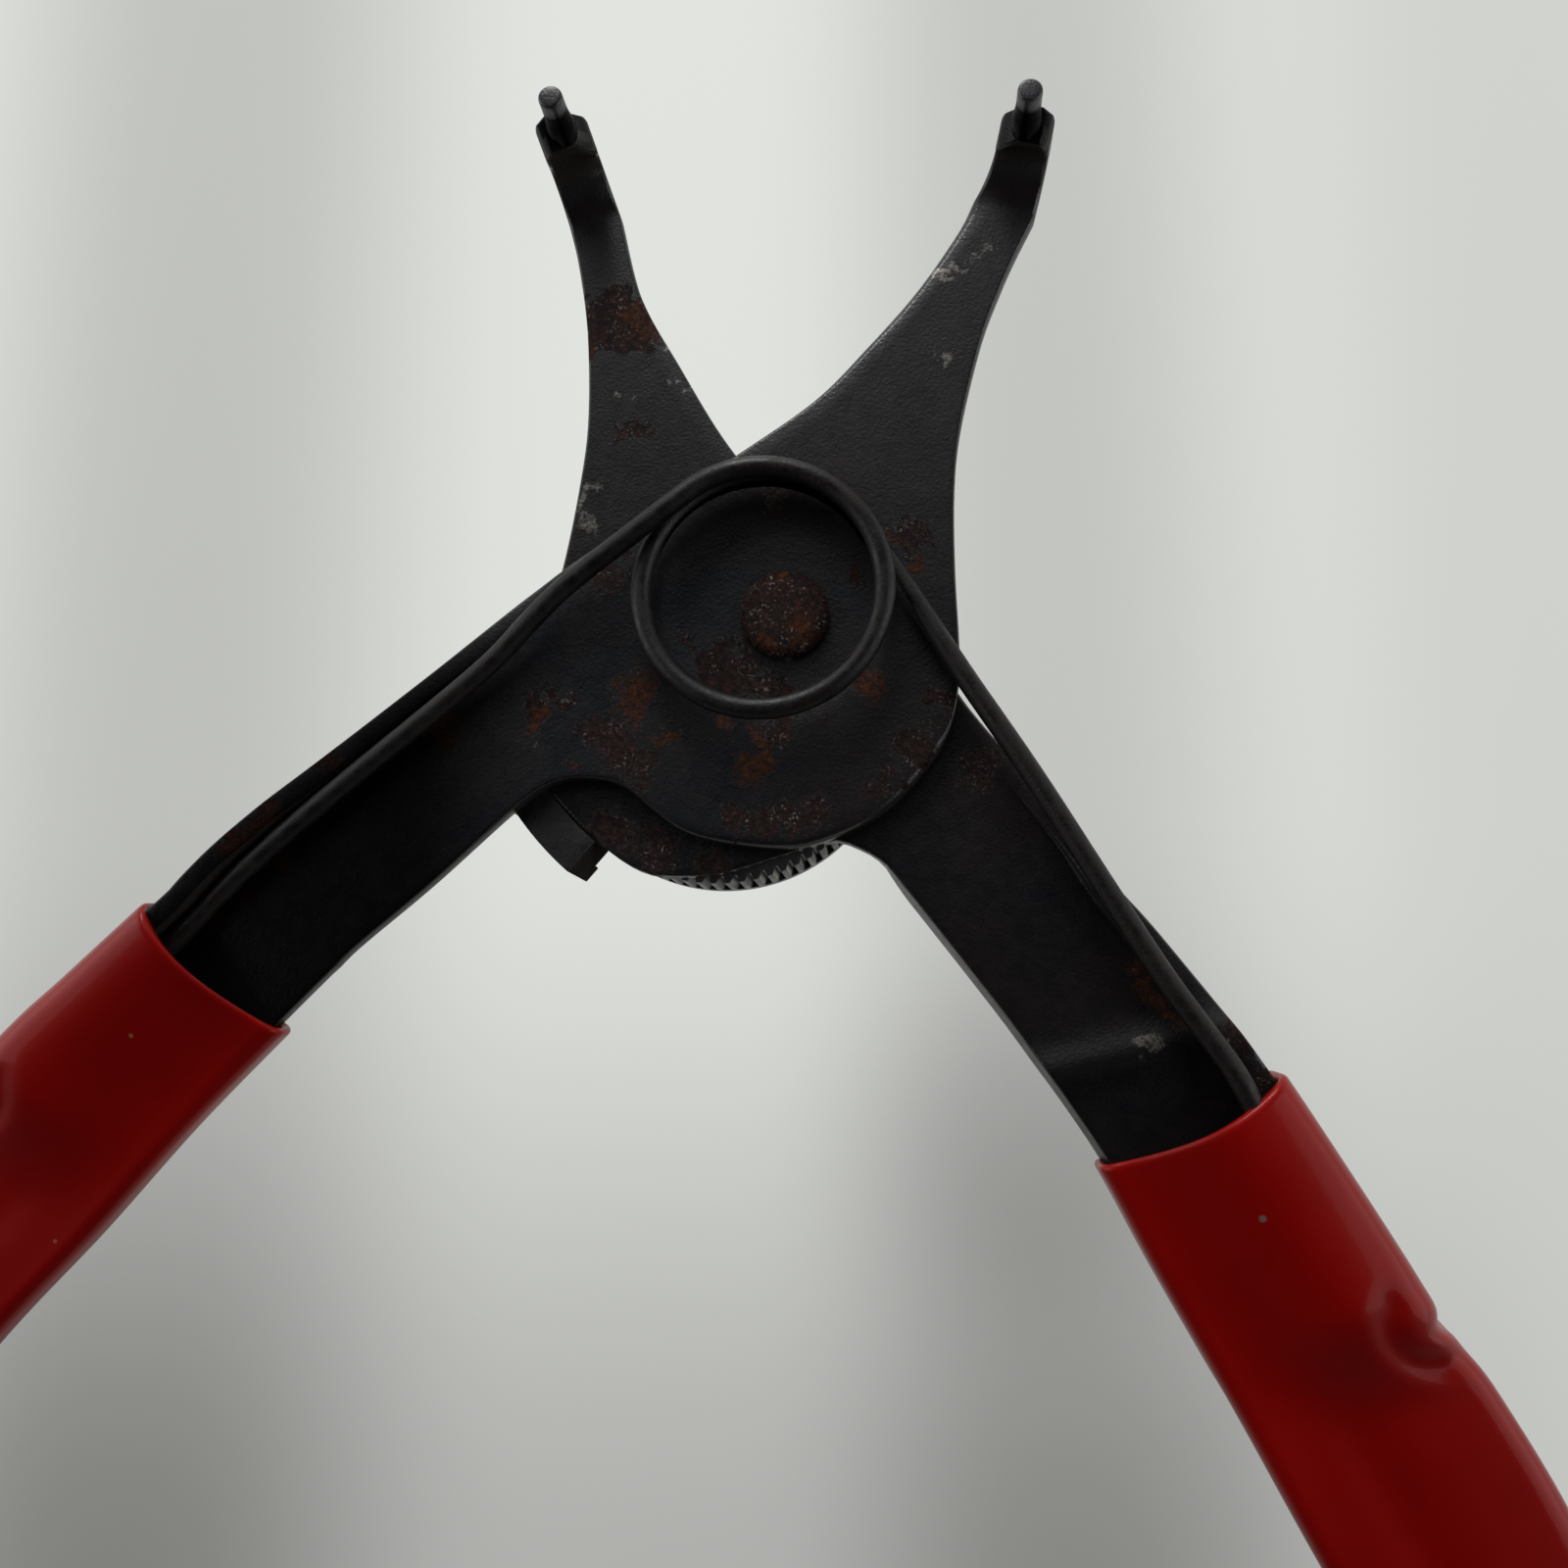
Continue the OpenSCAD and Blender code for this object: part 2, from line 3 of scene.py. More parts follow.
import bpy
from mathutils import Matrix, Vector


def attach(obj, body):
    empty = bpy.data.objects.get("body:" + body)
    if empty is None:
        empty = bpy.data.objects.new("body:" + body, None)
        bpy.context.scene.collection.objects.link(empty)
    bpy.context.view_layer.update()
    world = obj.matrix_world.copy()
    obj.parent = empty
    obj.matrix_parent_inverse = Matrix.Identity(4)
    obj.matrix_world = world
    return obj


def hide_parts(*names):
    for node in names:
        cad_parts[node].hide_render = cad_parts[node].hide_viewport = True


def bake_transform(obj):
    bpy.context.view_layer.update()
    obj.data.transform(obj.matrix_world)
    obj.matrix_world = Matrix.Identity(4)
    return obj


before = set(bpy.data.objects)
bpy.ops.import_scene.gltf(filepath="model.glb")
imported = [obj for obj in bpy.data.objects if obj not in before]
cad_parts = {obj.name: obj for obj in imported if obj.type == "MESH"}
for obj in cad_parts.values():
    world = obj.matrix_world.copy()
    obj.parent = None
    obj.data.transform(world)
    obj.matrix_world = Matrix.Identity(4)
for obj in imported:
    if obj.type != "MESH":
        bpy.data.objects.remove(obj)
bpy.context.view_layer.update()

# ---------------------------------------------------------------------------
# Studio: the tool hangs a hand's width above a large pale sheet of paper, in soft daylight that comes
# in low from the sides. The camera looks down on the front of the open tool from close by, so the
# handles run out of view. Places here are in metres.
bpy.ops.object.select_all(action="DESELECT")
bpy.ops.object.camera_add(
    location=(0.01346, -0.04898, 0.17627),
    rotation=(math.radians(9.926), math.radians(4.576), 0),
)
camera = bpy.context.object
camera.data.sensor_width = 36
camera.data.lens = 36
camera.data.clip_start = 0.01
bpy.context.scene.camera = camera
bpy.context.scene.view_settings.view_transform = "Standard"

# Sockets of a Mix node by number, because their names repeat: for colours its share, the colour below,
# the colour above and the result, and for plain numbers the one below and the one above.
share_in, below_in, above_in, colour_out = 0, 6, 7, 2
number_below_in, number_above_in = 2, 3


def linear(hex_colour):
    """sRGB hex to the linear colour that the shaders use."""
    parts = [int(hex_colour[i : i + 2], 16) / 255 for i in (1, 3, 5)]
    return [c / 12.92 if c <= 0.04045 else ((c + 0.055) / 1.055) ** 2.4 for c in parts] + [1.0]


def add_node(tree, kind, inputs=None, out=0, stops=(), **settings):
    """Adds a node with its settings and any ramp's stops, and returns one of its outputs.

    Each input is given a number, a hex colour or the socket that feeds it.
    """
    node = tree.nodes.new("ShaderNode" + kind)
    for key, value in settings.items():
        setattr(node, key, value)
    for _ in stops[2:]:
        node.color_ramp.elements.new(0.5)
    for i, (position, tone) in enumerate(stops):
        stop = node.color_ramp.elements[i]
        stop.position, stop.color = position, linear(tone)
    for key, value in (inputs or {}).items():
        if isinstance(value, bpy.types.NodeSocket):
            tree.links.new(value, node.inputs[key])
        else:
            node.inputs[key].default_value = linear(value) if isinstance(value, str) else value
    return node.outputs[out] if node.outputs else node


def new_material(name):
    material = bpy.data.materials.new(name)
    material.use_nodes = True
    material.node_tree.nodes.clear()
    return material, material.node_tree


# The paper is pale, with broad soft shadows painted into its colour in upright bands, and painted shade
# darker toward the near side.
paper_level = -0.09
paper_glow = 1.22
daylight_share = 0.28
paper, tree = new_material("pale backdrop paper")
place = add_node(tree, "TexCoord", out="Object")
spread = add_node(tree, "SeparateXYZ", {0: place}).node
near_side, left_share = [
    add_node(
        tree, "MapRange",
        {"Value": spread.outputs[axis], "From Min": low, "From Max": high, "To Min": first, "To Max": last},
        interpolation_type="SMOOTHSTEP",
    )
    for axis, low, high, first, last in (("Y", -0.135, -0.005, 0.43, 0.0), ("X", 0.06, 0.125, 1.0, 0.2))
]
shade = add_node(tree, "Math", {0: near_side, 1: left_share}, operation="MULTIPLY")
for x, y, reach, stretch, depth in (
    (-0.118, 0.0, 0.075, 25, 0.32),
    (0.038, 0.04, 0.058, 25, 0.28),
    (0.125, 0.0, 0.08, 25, 0.16),
    (0.032, -0.06, 0.05, 1, 0.14),
):
    off = add_node(
        tree, "VectorMath", {0: place, 1: (1, 1 / stretch, 0), 2: (-x, -y / stretch, 0)},
        operation="MULTIPLY_ADD",
    )
    far = add_node(tree, "VectorMath", {0: off}, out="Value", operation="LENGTH")
    dark = add_node(
        tree, "MapRange", {"Value": far, "From Min": 0.0, "From Max": reach, "To Min": depth, "To Max": 0.0},
        interpolation_type="SMOOTHERSTEP",
    )
    shade = add_node(tree, "Math", {0: shade, 1: dark}, operation="ADD")
tint = add_node(
    tree, "Mix", {share_in: shade, below_in: "#dadcd8", above_in: "#3e3a38"}, colour_out, data_type="RGBA"
)
light_path = add_node(tree, "LightPath").node
seen = add_node(
    tree, "Math", {0: light_path.outputs["Is Camera Ray"], 1: light_path.outputs["Is Glossy Ray"]},
    operation="MAXIMUM",
)
glow = add_node(tree, "Emission", {"Strength": paper_glow, "Color": tint})
sheet_light = add_node(tree, "BsdfDiffuse", {"Color": tint})
lit = add_node(tree, "MixShader", {0: daylight_share, 1: glow, 2: sheet_light})
matt = add_node(tree, "BsdfDiffuse", {"Color": "#c9cac8"})
both = add_node(tree, "MixShader", {0: seen, 1: matt, 2: lit})
add_node(tree, "OutputMaterial", {"Surface": both})

bpy.ops.mesh.primitive_plane_add(size=4, location=(0, 0, paper_level))
floor = bpy.context.object
floor.name = "backdrop_paper"
floor.data.materials.append(paper)

# The room is dark overhead and bright low down, brighter beyond the jaws, and dark on the near side where
# the person with the camera stands.
world = bpy.data.worlds.new("studio")
bpy.context.scene.world = world
world.use_nodes = True
tree = world.node_tree
tree.nodes.clear()
way = add_node(tree, "TexCoord", out="Generated")
height = add_node(tree, "SeparateXYZ", {0: way}, out="Z")
dome = add_node(
    tree, "ValToRGB", {0: height},
    stops=((0.05, "#f2f4f2"), (0.4, "#b4b6b7"), (0.62, "#3c3d40"), (0.8, "#151618"), (0.97, "#09090b")),
)
beyond = add_node(tree, "VectorMath", {0: way, 1: (-0.1, 0.8, 0.59)}, out="Value", operation="DOT_PRODUCT")
band = add_node(
    tree, "MapRange", {"Value": beyond, "From Min": 0.75, "From Max": 1.0, "To Max": 0.55},
    interpolation_type="SMOOTHSTEP",
)
room = add_node(
    tree, "Mix", {share_in: 1.0, below_in: dome, above_in: band}, colour_out,
    data_type="RGBA", blend_type="ADD",
)
behind = add_node(tree, "VectorMath", {0: way, 1: (-0.1, -0.95, 0.3)}, out="Value", operation="DOT_PRODUCT")
dim = add_node(
    tree, "MapRange", {"Value": behind, "From Min": -0.1, "From Max": 0.6, "To Min": 0.95, "To Max": 0.1},
    interpolation_type="SMOOTHSTEP",
)
sky = add_node(tree, "Background", {"Color": room, "Strength": dim})
add_node(tree, "OutputWorld", {"Surface": sky})

for name, spot, size, power in (
    ("window_far", (-0.15, 0.8, 0.42), 0.35, 4.0),
    ("window_left", (-0.75, 0.1, 0.38), 0.7, 2.2),
    ("window_right", (0.75, -0.1, 0.42), 0.7, 2.2),
):
    bpy.ops.object.light_add(type="AREA", location=spot)
    lamp = bpy.context.object
    lamp.name = name
    lamp.data.size = size
    lamp.data.energy = power
    lamp.rotation_euler = (Vector((0, -0.02, 0)) - Vector(spot)).to_track_quat("-Z", "Y").to_euler()

# ---------------------------------------------------------------------------
# Arms: two arms stamped from 2.4 mm sheet, blackened, then oiled and gone rusty in blooms. The press
# left rolled edges and turned up a flange along each handle's outer edge; each jaw ends in a strap
# that turns up square and is ground into a small block for its pin. Places are in millimetres.
sheet = 2.4
front_level, back_level = 6.7, 4.2
# Each crease: its two ends, how far the handle bends down in degrees, about which level, and half the
# width of the bend.
left_crease = ((-67.4, -30.5), (-50.0, -39.0), 5.9, front_level, 1.3)
right_crease = ((27.0, -49.2), (46.6, -44.6), 4.1, back_level, 3.0)
# Lines across a handle: a place on the line and its direction in degrees.
left_mouth = ((-62.8, -41.3), -34)
right_mouth = ((41.2, -57.7), 18)
right_crease_line = ((27.0, -49.2), 13.2)
# The flanges end inside the grips, this far past the mouth, and run out over the last 2.5 mm.
flange_end = 25
lip_deep = 2.0
# The press raised a swell across the right handle just past its crease, and sank a dish round the rivet.
swell_high, swell_middle, swell_width = 0.85, 1.8, 2.5
dish_deep, dish_flat, dish_rim = 0.32, 9.5, 13.5


def smooth_run(points, steps):
    """Catmull-Rom places through a list of places."""
    ps = [Vector(p) for p in points]
    run = []
    for i in range(len(ps) - 1):
        a, b, c, d = ps[max(i - 1, 0)], ps[i], ps[i + 1], ps[min(i + 2, len(ps) - 1)]
        for k in range(steps):
            t = k / steps
            bend, twist = 2 * a - 5 * b + 4 * c - d, 3 * b - a - 3 * c + d
            run.append(0.5 * (2 * b + (c - a) * t + bend * t * t + twist * t**3))
    return run + [ps[-1]]


def step_up(x, start, end):
    """Smooth climb from 0 at start to 1 at end."""
    t = min(max((x - start) / (end - start), 0.0), 1.0)
    return t * t * (3 - 2 * t)


def past(line, x, y):
    """Distance beyond a line across a handle."""
    (x0, y0), degrees = line
    turn = math.radians(degrees)
    return (x - x0) * math.sin(turn) - (y - y0) * math.cos(turn)


def stations(run, stops, counts):
    """Places along a run, evenly spaced between the spots on it nearest to each stop."""
    lengths = [0.0]
    for a, b in zip(run, run[1:]):
        lengths.append(lengths[-1] + (b - a).length)
    marks = []
    for stop in stops:
        near = min(range(len(run)), key=lambda i: (run[i] - Vector(stop)).length)
        marks.append(lengths[near])
    places = []
    i = 0
    for (a, b), n in zip(zip(marks, marks[1:]), counts):
        for k in range(n):
            want = a + (b - a) * k / n
            while i < len(run) - 2 and lengths[i + 1] < want:
                i += 1
            while i > 0 and lengths[i] > want:
                i -= 1
            t = (want - lengths[i]) / (lengths[i + 1] - lengths[i])
            places.append(run[i].lerp(run[i + 1], t))
    return places + [run[-1]]


def bent_down(place, crease):
    """Carries a place beyond a crease down about it, round a soft bend."""
    a, b, degrees, level, soft = crease
    angle = math.radians(degrees)
    line = Vector((b[0] - a[0], b[1] - a[1], 0)).normalized()
    out = Vector((line.y, -line.x, 0))
    d = (place - Vector((a[0], a[1], 0))).dot(out)
    w = place.z - level
    if d <= -soft:
        return place
    radius = 2 * soft / angle
    turn = min(angle * (d + soft) / (2 * soft), angle)
    beyond = max(d - soft, 0.0)
    across = -soft + radius * math.sin(turn) + beyond * math.cos(turn) + w * math.sin(turn)
    down = -radius * (1 - math.cos(turn)) - beyond * math.sin(turn) + w * math.cos(turn)
    flat = place + out * (across - d)
    return Vector((flat.x, flat.y, level + down))


def arc_of(cx, cz, r, start, end, n):
    """n + 1 places on an arc, from one angle to another in degrees."""
    turns = [math.radians(start + (end - start) * k / n) for k in range(n + 1)]
    return [(cx + r * math.cos(turn), cz + r * math.sin(turn)) for turn in turns]


def sheet_section(width, flange, lip, roll, edge=0.4):
    """Outline of an arm's cut, from its flanged edge: flange, top, far edge with any lip, underside."""
    lip_thick, lip_lean, lip_round = 1.5, 0.22 * lip, 0.3
    r_in = min(0.45, flange * 0.35)
    r_root = min(1.3, flange * 0.55)
    low = 0.35 + 1.7 * step_up(flange, 0.2, 2.5)
    foot = min(lip_round, lip)
    ring = arc_of(edge, flange - edge, edge, 180, 90, 3)
    ring += arc_of(sheet - r_in, flange - r_in, r_in, 90, 0, 3)
    ring += arc_of(sheet + r_root, r_root, r_root, 180, 270, 5)
    start = sheet + 1.35
    ring += [(start + (width - roll - start) * k / 26, 0.0) for k in range(26)]
    ring += arc_of(width - roll, -roll, roll, 90, 0, 5)
    ring += arc_of(width - lip_round + lip_lean, -sheet - lip + lip_round, lip_round, 0, -90, 3)
    ring += arc_of(width - lip_thick + lip_lean + foot, -sheet - lip + foot, foot, -90, -180, 2)
    ring += [(width - lip_thick, -sheet - lip * 0.4), (width - lip_thick - 0.4 * min(lip, 1), -sheet)]
    ring += [(width - 2.2 - (width - 2.2 - 2.6) * k / 7, -sheet) for k in range(8)]
    ring += arc_of(low, -sheet + low, low, -90, -180, 5)
    return ring


def loft(name, rings):
    """Wraps a grid round a run of closed rings of equal count, and merges the seam and any folded ends."""
    around = len(rings[0])
    bpy.ops.object.select_all(action="DESELECT")
    bpy.ops.mesh.primitive_grid_add(x_subdivisions=around, y_subdivisions=len(rings) - 1, size=0.1)
    skin = bpy.context.object
    skin.name = name
    skin.data.name = name
    for v in skin.data.vertices:
        ring, step = divmod(v.index, around + 1)
        v.co = rings[ring][step % around] / 1000
    bpy.ops.object.mode_set(mode="EDIT")
    bpy.ops.mesh.select_all(action="SELECT")
    bpy.ops.mesh.remove_doubles(threshold=2e-6)
    bpy.ops.mesh.normals_make_consistent(inside=False)
    bpy.ops.mesh.select_all(action="DESELECT")
    bpy.ops.object.mode_set(mode="OBJECT")
    bpy.ops.object.shade_smooth_by_angle(angle=math.radians(50))
    return skin


def strap_rings(base, inner_side, direction, level, rise, flare_in, flare_out):
    """Rings of a jaw's upturned end, from the ground end face down to where the strap leaves the plate."""
    wide, bend, slant = 6.0, 5, math.tan(math.radians(38))
    # The block is thicker than the sheet by this much; then the middle of its depth, half of it, and
    # how far its end is rounded.
    extra, middle, half_block, rounding = 0.8, 0.8, 1.6, 0.32
    forward = Vector((math.cos(math.radians(direction)), math.sin(math.radians(direction)), 0))
    across = Vector((forward.y, -forward.x, 0)) * inner_side
    start = Vector((base[0], base[1], level)) - across * wide / 2
    section = sheet_section(wide, 0.0, 0.0, 0.45)

    def end_height(t, s):
        """Height of the slanted, shouldered end over the bend; the inner shoulder is the larger."""
        inner_shoulder = 2.9 * max(1 - s / 2.2, 0) ** 1.1
        outer_shoulder = 1.7 * max(1 - (wide - s) / 1.1, 0) ** 1.3
        return rise - (sheet - t) * slant - inner_shoulder - outer_shoulder

    def place(t, s, lift):
        return start + across * s + forward * (bend + t) + Vector((0, 0, bend + lift))

    def thick(z, share):
        """Depth behind the strap's outer face, with a share of the block's extra thickness."""
        return -z - extra * share * (1 + z / sheet)

    rings = []
    for shrink in (0.0, 0.3, 0.6, 0.85):
        ring = []
        for s, z in section:
            t, s = middle + (thick(z, 1) - middle) * 0.8 * shrink, wide / 2 + (s - wide / 2) * 0.9
            ring.append(place(t, s, end_height(t, s)))
        rings.append(ring)
    for k in range(5):
        turn = math.pi / 2 * k / 4
        inset = rounding * (1 - math.sin(turn))
        ring = []
        for s, z in section:
            t = middle + (thick(z, 1) - middle) * (1 - inset / half_block)
            s = wide / 2 + (s - wide / 2) * (1 - inset / (wide / 2))
            ring.append(place(t, s, end_height(t, s) - rounding * (1 - math.cos(turn))))
        rings.append(ring)
    for share in (0.86, 0.72, 0.58, 0.44, 0.3, 0.15):
        ring = []
        for s, z in section:
            t = thick(z, step_up(share, -0.05, 0.85))
            ring.append(place(t, s, (end_height(t, s) - rounding) * share))
        rings.append(ring)
    for k in range(13):
        turn = math.pi / 2 * (1 - k / 12)
        grow = (k / 12) ** 2
        ring = []
        for s, z in section:
            side = s - flare_in * grow * (1 - s / wide) + flare_out * grow * s / wide
            lift = Vector((0, 0, bend - (bend - z) * math.cos(turn)))
            ring.append(start + across * side + forward * (bend - z) * math.sin(turn) + lift)
        rings.append(ring)
    return rings[:-1]


def arm_rings(outer, inner, stops, counts, level, crease, flange_at, lip_at, roll_at, edge_at):
    """Rings along an arm's plate, from the strap's root to the covered end of its handle."""
    ones = stations(outer, [a for a, b in stops], counts)
    twos = stations(inner, [b for a, b in stops], counts)
    rings = []
    for a, b in zip(ones, twos):
        width = (b - a).length
        across = ((b - a) / width).to_3d()
        section = sheet_section(width, flange_at(a), lip_at(b), roll_at(b), edge_at(a))
        ring = []
        for s, z in section:
            p = a.to_3d() + across * s
            on_top = z > -0.5
            if on_top and flange_at(a) < 0.5:
                z -= dish_deep * step_up(-math.hypot(p.x, p.y), -dish_rim, -dish_flat)
            if crease is right_crease and z > -0.5:
                off = past(right_crease_line, p.x, p.y) - swell_middle
                z += swell_high * math.exp(-((off / swell_width) ** 2))
            ring.append(bent_down(Vector((p.x, p.y, level + z)), crease))
        rings.append(ring)
    for shrink in (0.6, 0.0):
        last = rings[-1] if shrink else rings[-2]
        middle = sum(last, Vector()) / len(last)
        rings.append([middle.lerp(p, shrink) for p in last])
    return rings


def bored(piece, radius, low, high):
    """Cuts the rivet's hole through a piece."""
    bpy.ops.object.select_all(action="DESELECT")
    bpy.ops.mesh.primitive_cylinder_add(
        vertices=64, radius=radius / 1000, depth=(high - low) / 1000, location=(0, 0, (high + low) / 2000)
    )
    drill = bpy.context.object
    bpy.ops.object.select_all(action="DESELECT")
    piece.select_set(True)
    bpy.context.view_layer.objects.active = piece
    cut = piece.modifiers.new("rivet_hole", "BOOLEAN")
    cut.operation = "DIFFERENCE"
    cut.solver = "EXACT"
    cut.object = drill
    bpy.ops.object.modifier_apply(modifier=cut.name)
    bpy.data.objects.remove(drill)
    bpy.ops.object.shade_smooth_by_angle(angle=math.radians(50))


def flange_height(p, direction, start, slope, full, mouth):
    """Height of a handle's flange: it climbs along the handle to its full height and ends in the grip."""
    along = p.x * math.cos(math.radians(direction)) + p.y * math.sin(math.radians(direction))
    climb = (along - start) * math.tan(math.radians(slope))
    gone = step_up(past(mouth, p.x, p.y), flange_end - 2.5, flange_end)
    return min(max(climb, 0.0), full) * (1 - gone)


# Front arm: right jaw, round lobe and left handle. The outlines run from the strap to the handle's end.
left_outer = smooth_run(
    [(-67.4, -30.5), (-78.5, -40.2), (-86.6, -47.4), (-105, -66.5), (-120, -85), (-129, -97)], 12
)
left_inner = smooth_run(
    [
        (-50, -39), (-56.2, -44.9), (-67.4, -55.9), (-78.5, -67.9), (-89.7, -79.3), (-104, -95.6),
        (-115.5, -107.5),
    ],
    10,
)
front_outer = smooth_run(
    [(21.79, 49.1), (20.2, 45.9), (15.3, 38.7), (9.5, 32.0), (3.3, 25.5), (-5.5, 19.3), (-15.4, 12.8)], 8
)[:-1]
front_outer += smooth_run(
    [
        (-15.4, 12.8), (-26.4, 5.3), (-40.5, -6.6), (-51.2, -15.5), (-58.2, -21.2), (-63.5, -26.1),
        (-67.4, -30.5),
    ],
    8,
)[:-1]
front_outer += left_outer
front_inner = smooth_run(
    [
        (29.04, 47.16), (26.6, 42.3), (24.7, 37.9), (22.6, 32.2), (20.1, 22), (19.2, 14.2), (19.1, 5),
        (19.4, -3.5), (19.3, -8.2), (17.9, -13.9), (14.5, -18.8), (10, -22.9), (3.3, -25.8), (-1.5, -26.2),
        (-7.9, -25.4), (-11.7, -24.1), (-14.7, -21.9), (-18.2, -19.1), (-22, -18.2), (-25.9, -18.6),
        (-30, -21.2), (-39.5, -29.8), (-47.6, -36.6), (-50, -39),
    ],
    8,
)[:-1] + left_inner
# Pairs of places that face each other across the plate, and the number of rings from each to the next.
front_stops = [
    ((21.79, 49.1), (29.04, 47.16)), ((16.6, 40.4), (25.4, 40.0)), ((9.5, 32.0), (21.8, 29.0)),
    ((3.3, 25.5), (19.2, 14.2)), ((-5.5, 19.3), (19.3, -6.0)), ((-15.4, 12.8), (12.5, -20.8)),
    ((-21.0, 9.2), (-3.0, -26.1)), ((-27.0, 4.8), (-12.7, -23.5)), ((-32.0, 0.6), (-20.0, -18.5)),
    ((-37.0, -3.6), (-26.9, -19.0)), ((-40.5, -6.6), (-30, -21.2)), ((-51.2, -15.5), (-39.5, -29.8)),
    ((-58.2, -21.2), (-47.6, -36.6)), ((-67.4, -30.5), (-56.2, -44.9)), ((-86.6, -47.4), (-73.0, -62.0)),
    ((-105, -66.5), (-89.7, -79.3)), ((-120, -85), (-104, -95.6)), ((-129, -97), (-115.5, -107.5)),
]
front_counts = (6, 6, 8, 10, 14, 12, 8, 8, 6, 4, 10, 14, 28, 24, 8, 6, 5)


def left_flange(p):
    height = flange_height(p, direction=221, start=18, slope=4.6, full=4.7, mouth=left_mouth)
    return height * step_up(-p.x, 15.4, 19)


def front_roll(p):
    """The round lobe's rim is rolled over more than the other edges."""
    return 0.35 + 0.55 * step_up(p.x, -24, -14) * step_up(-p.x, -19.6, -17) * step_up(-p.y, 12, 16)


def jaw_edge(p):
    """The right jaw's inner edge is rounded over more than the rest."""
    return 0.4 + 0.55 * step_up(p.y, 22, 34)


rings = strap_rings(
    (26.14, 47.94), inner_side=1, direction=75, level=front_level, rise=5.0, flare_in=1.5, flare_out=0.0
)
rings += arm_rings(
    front_outer, front_inner, front_stops, front_counts, front_level, left_crease, left_flange,
    lambda p: 0.0, front_roll, jaw_edge,
)
front_arm = loft("front_arm_plate", rings)
bored(front_arm, radius=3.45, low=3, high=8)

# Back arm: left jaw, rear lobe and right handle, whose inner edge is turned down into a lip.
right_outer = smooth_run(
    [
        (46.6, -44.6), (51.1, -50.9), (59.2, -63.9), (66.2, -75.5), (72, -84.6), (77.8, -95), (84.8, -110.5),
        (91, -126.5),
    ],
    10,
)
right_inner = smooth_run(
    [(27, -49.2), (33.9, -59.4), (40.2, -71.2), (48.1, -85.4), (56.4, -100.9), (66, -117.8), (75.5, -134.5)],
    10,
)
back_outer = smooth_run(
    [
        (-20.07, 50.99), (-17.5, 40.7), (-12.9, 31.9), (-6, 20.3), (3, 10.5), (13, 1), (20.3, -10.2),
        (26.8, -18.2), (31.9, -24.7), (35.6, -30.3), (39.2, -34.7), (43.8, -40.8), (46.6, -44.6),
    ],
    8,
)[:-1] + right_outer
back_inner = smooth_run(
    [
        (-26.02, 48.91), (-25, 44.5), (-23.8, 36), (-23.5, 24.9), (-24.4, 16.4), (-26, 7.5), (-27.6, 2),
        (-30.6, -4), (-30.8, -11.8), (-28.9, -16), (-26.4, -19.9), (-21.7, -24.7), (-17, -28.1),
        (-12.7, -29), (-6.8, -28.6), (-0.9, -26.9), (3, -25.7), (5.6, -25.2), (8.1, -26.1), (10.3, -27.4),
        (12.4, -29.7), (23, -43.5), (27, -49.2),
    ],
    8,
)[:-1] + right_inner
back_stops = [
    ((-20.07, 50.99), (-26.02, 48.91)), ((-17.5, 40.7), (-24.4, 40.0)), ((-12.9, 31.9), (-23.7, 29.0)),
    ((-6, 20.3), (-25.0, 12.5)), ((3, 10.5), (-30.6, -4)), ((13, 1), (-21.7, -24.7)),
    ((20.3, -10.2), (-5.0, -28.1)), ((26.8, -18.2), (8.1, -26.1)), ((31.9, -24.7), (15.0, -33.1)),
    ((39.2, -34.7), (23.5, -44.2)), ((46.6, -44.6), (31.0, -55.2)), ((51.1, -50.9), (34.9, -61.2)),
    ((59.2, -63.9), (41.5, -73.6)), ((66.2, -75.5), (48.2, -85.5)), ((77.8, -95), (59.1, -105.6)),
    ((91, -126.5), (75.5, -134.5)),
]
back_counts = (6, 6, 10, 12, 14, 14, 10, 8, 12, 24, 8, 10, 8, 8, 6)


def right_flange(p):
    height = flange_height(p, direction=306, start=30, slope=4.7, full=3.6, mouth=right_mouth)
    return height * step_up(p.x, 18, 23)


def right_lip(p):
    """Depth of the lip that the right handle's inner edge is turned down into."""
    gone = step_up(past(right_mouth, p.x, p.y), flange_end - 2, flange_end)
    return lip_deep * step_up(p.x, 9, 14) * step_up(-p.y, 25, 29) * (1 - gone)


rings = strap_rings(
    (-22.9, 50), inner_side=-1, direction=109.3, level=back_level, rise=7.5, flare_in=0.0, flare_out=0.3
)
rings += arm_rings(
    back_outer, back_inner, back_stops, back_counts, back_level, right_crease, right_flange,
    right_lip, lambda p: 0.35, lambda p: 0.4,
)
back_arm = loft("back_arm_plate", rings)
bored(back_arm, radius=3.4, low=1, high=5)


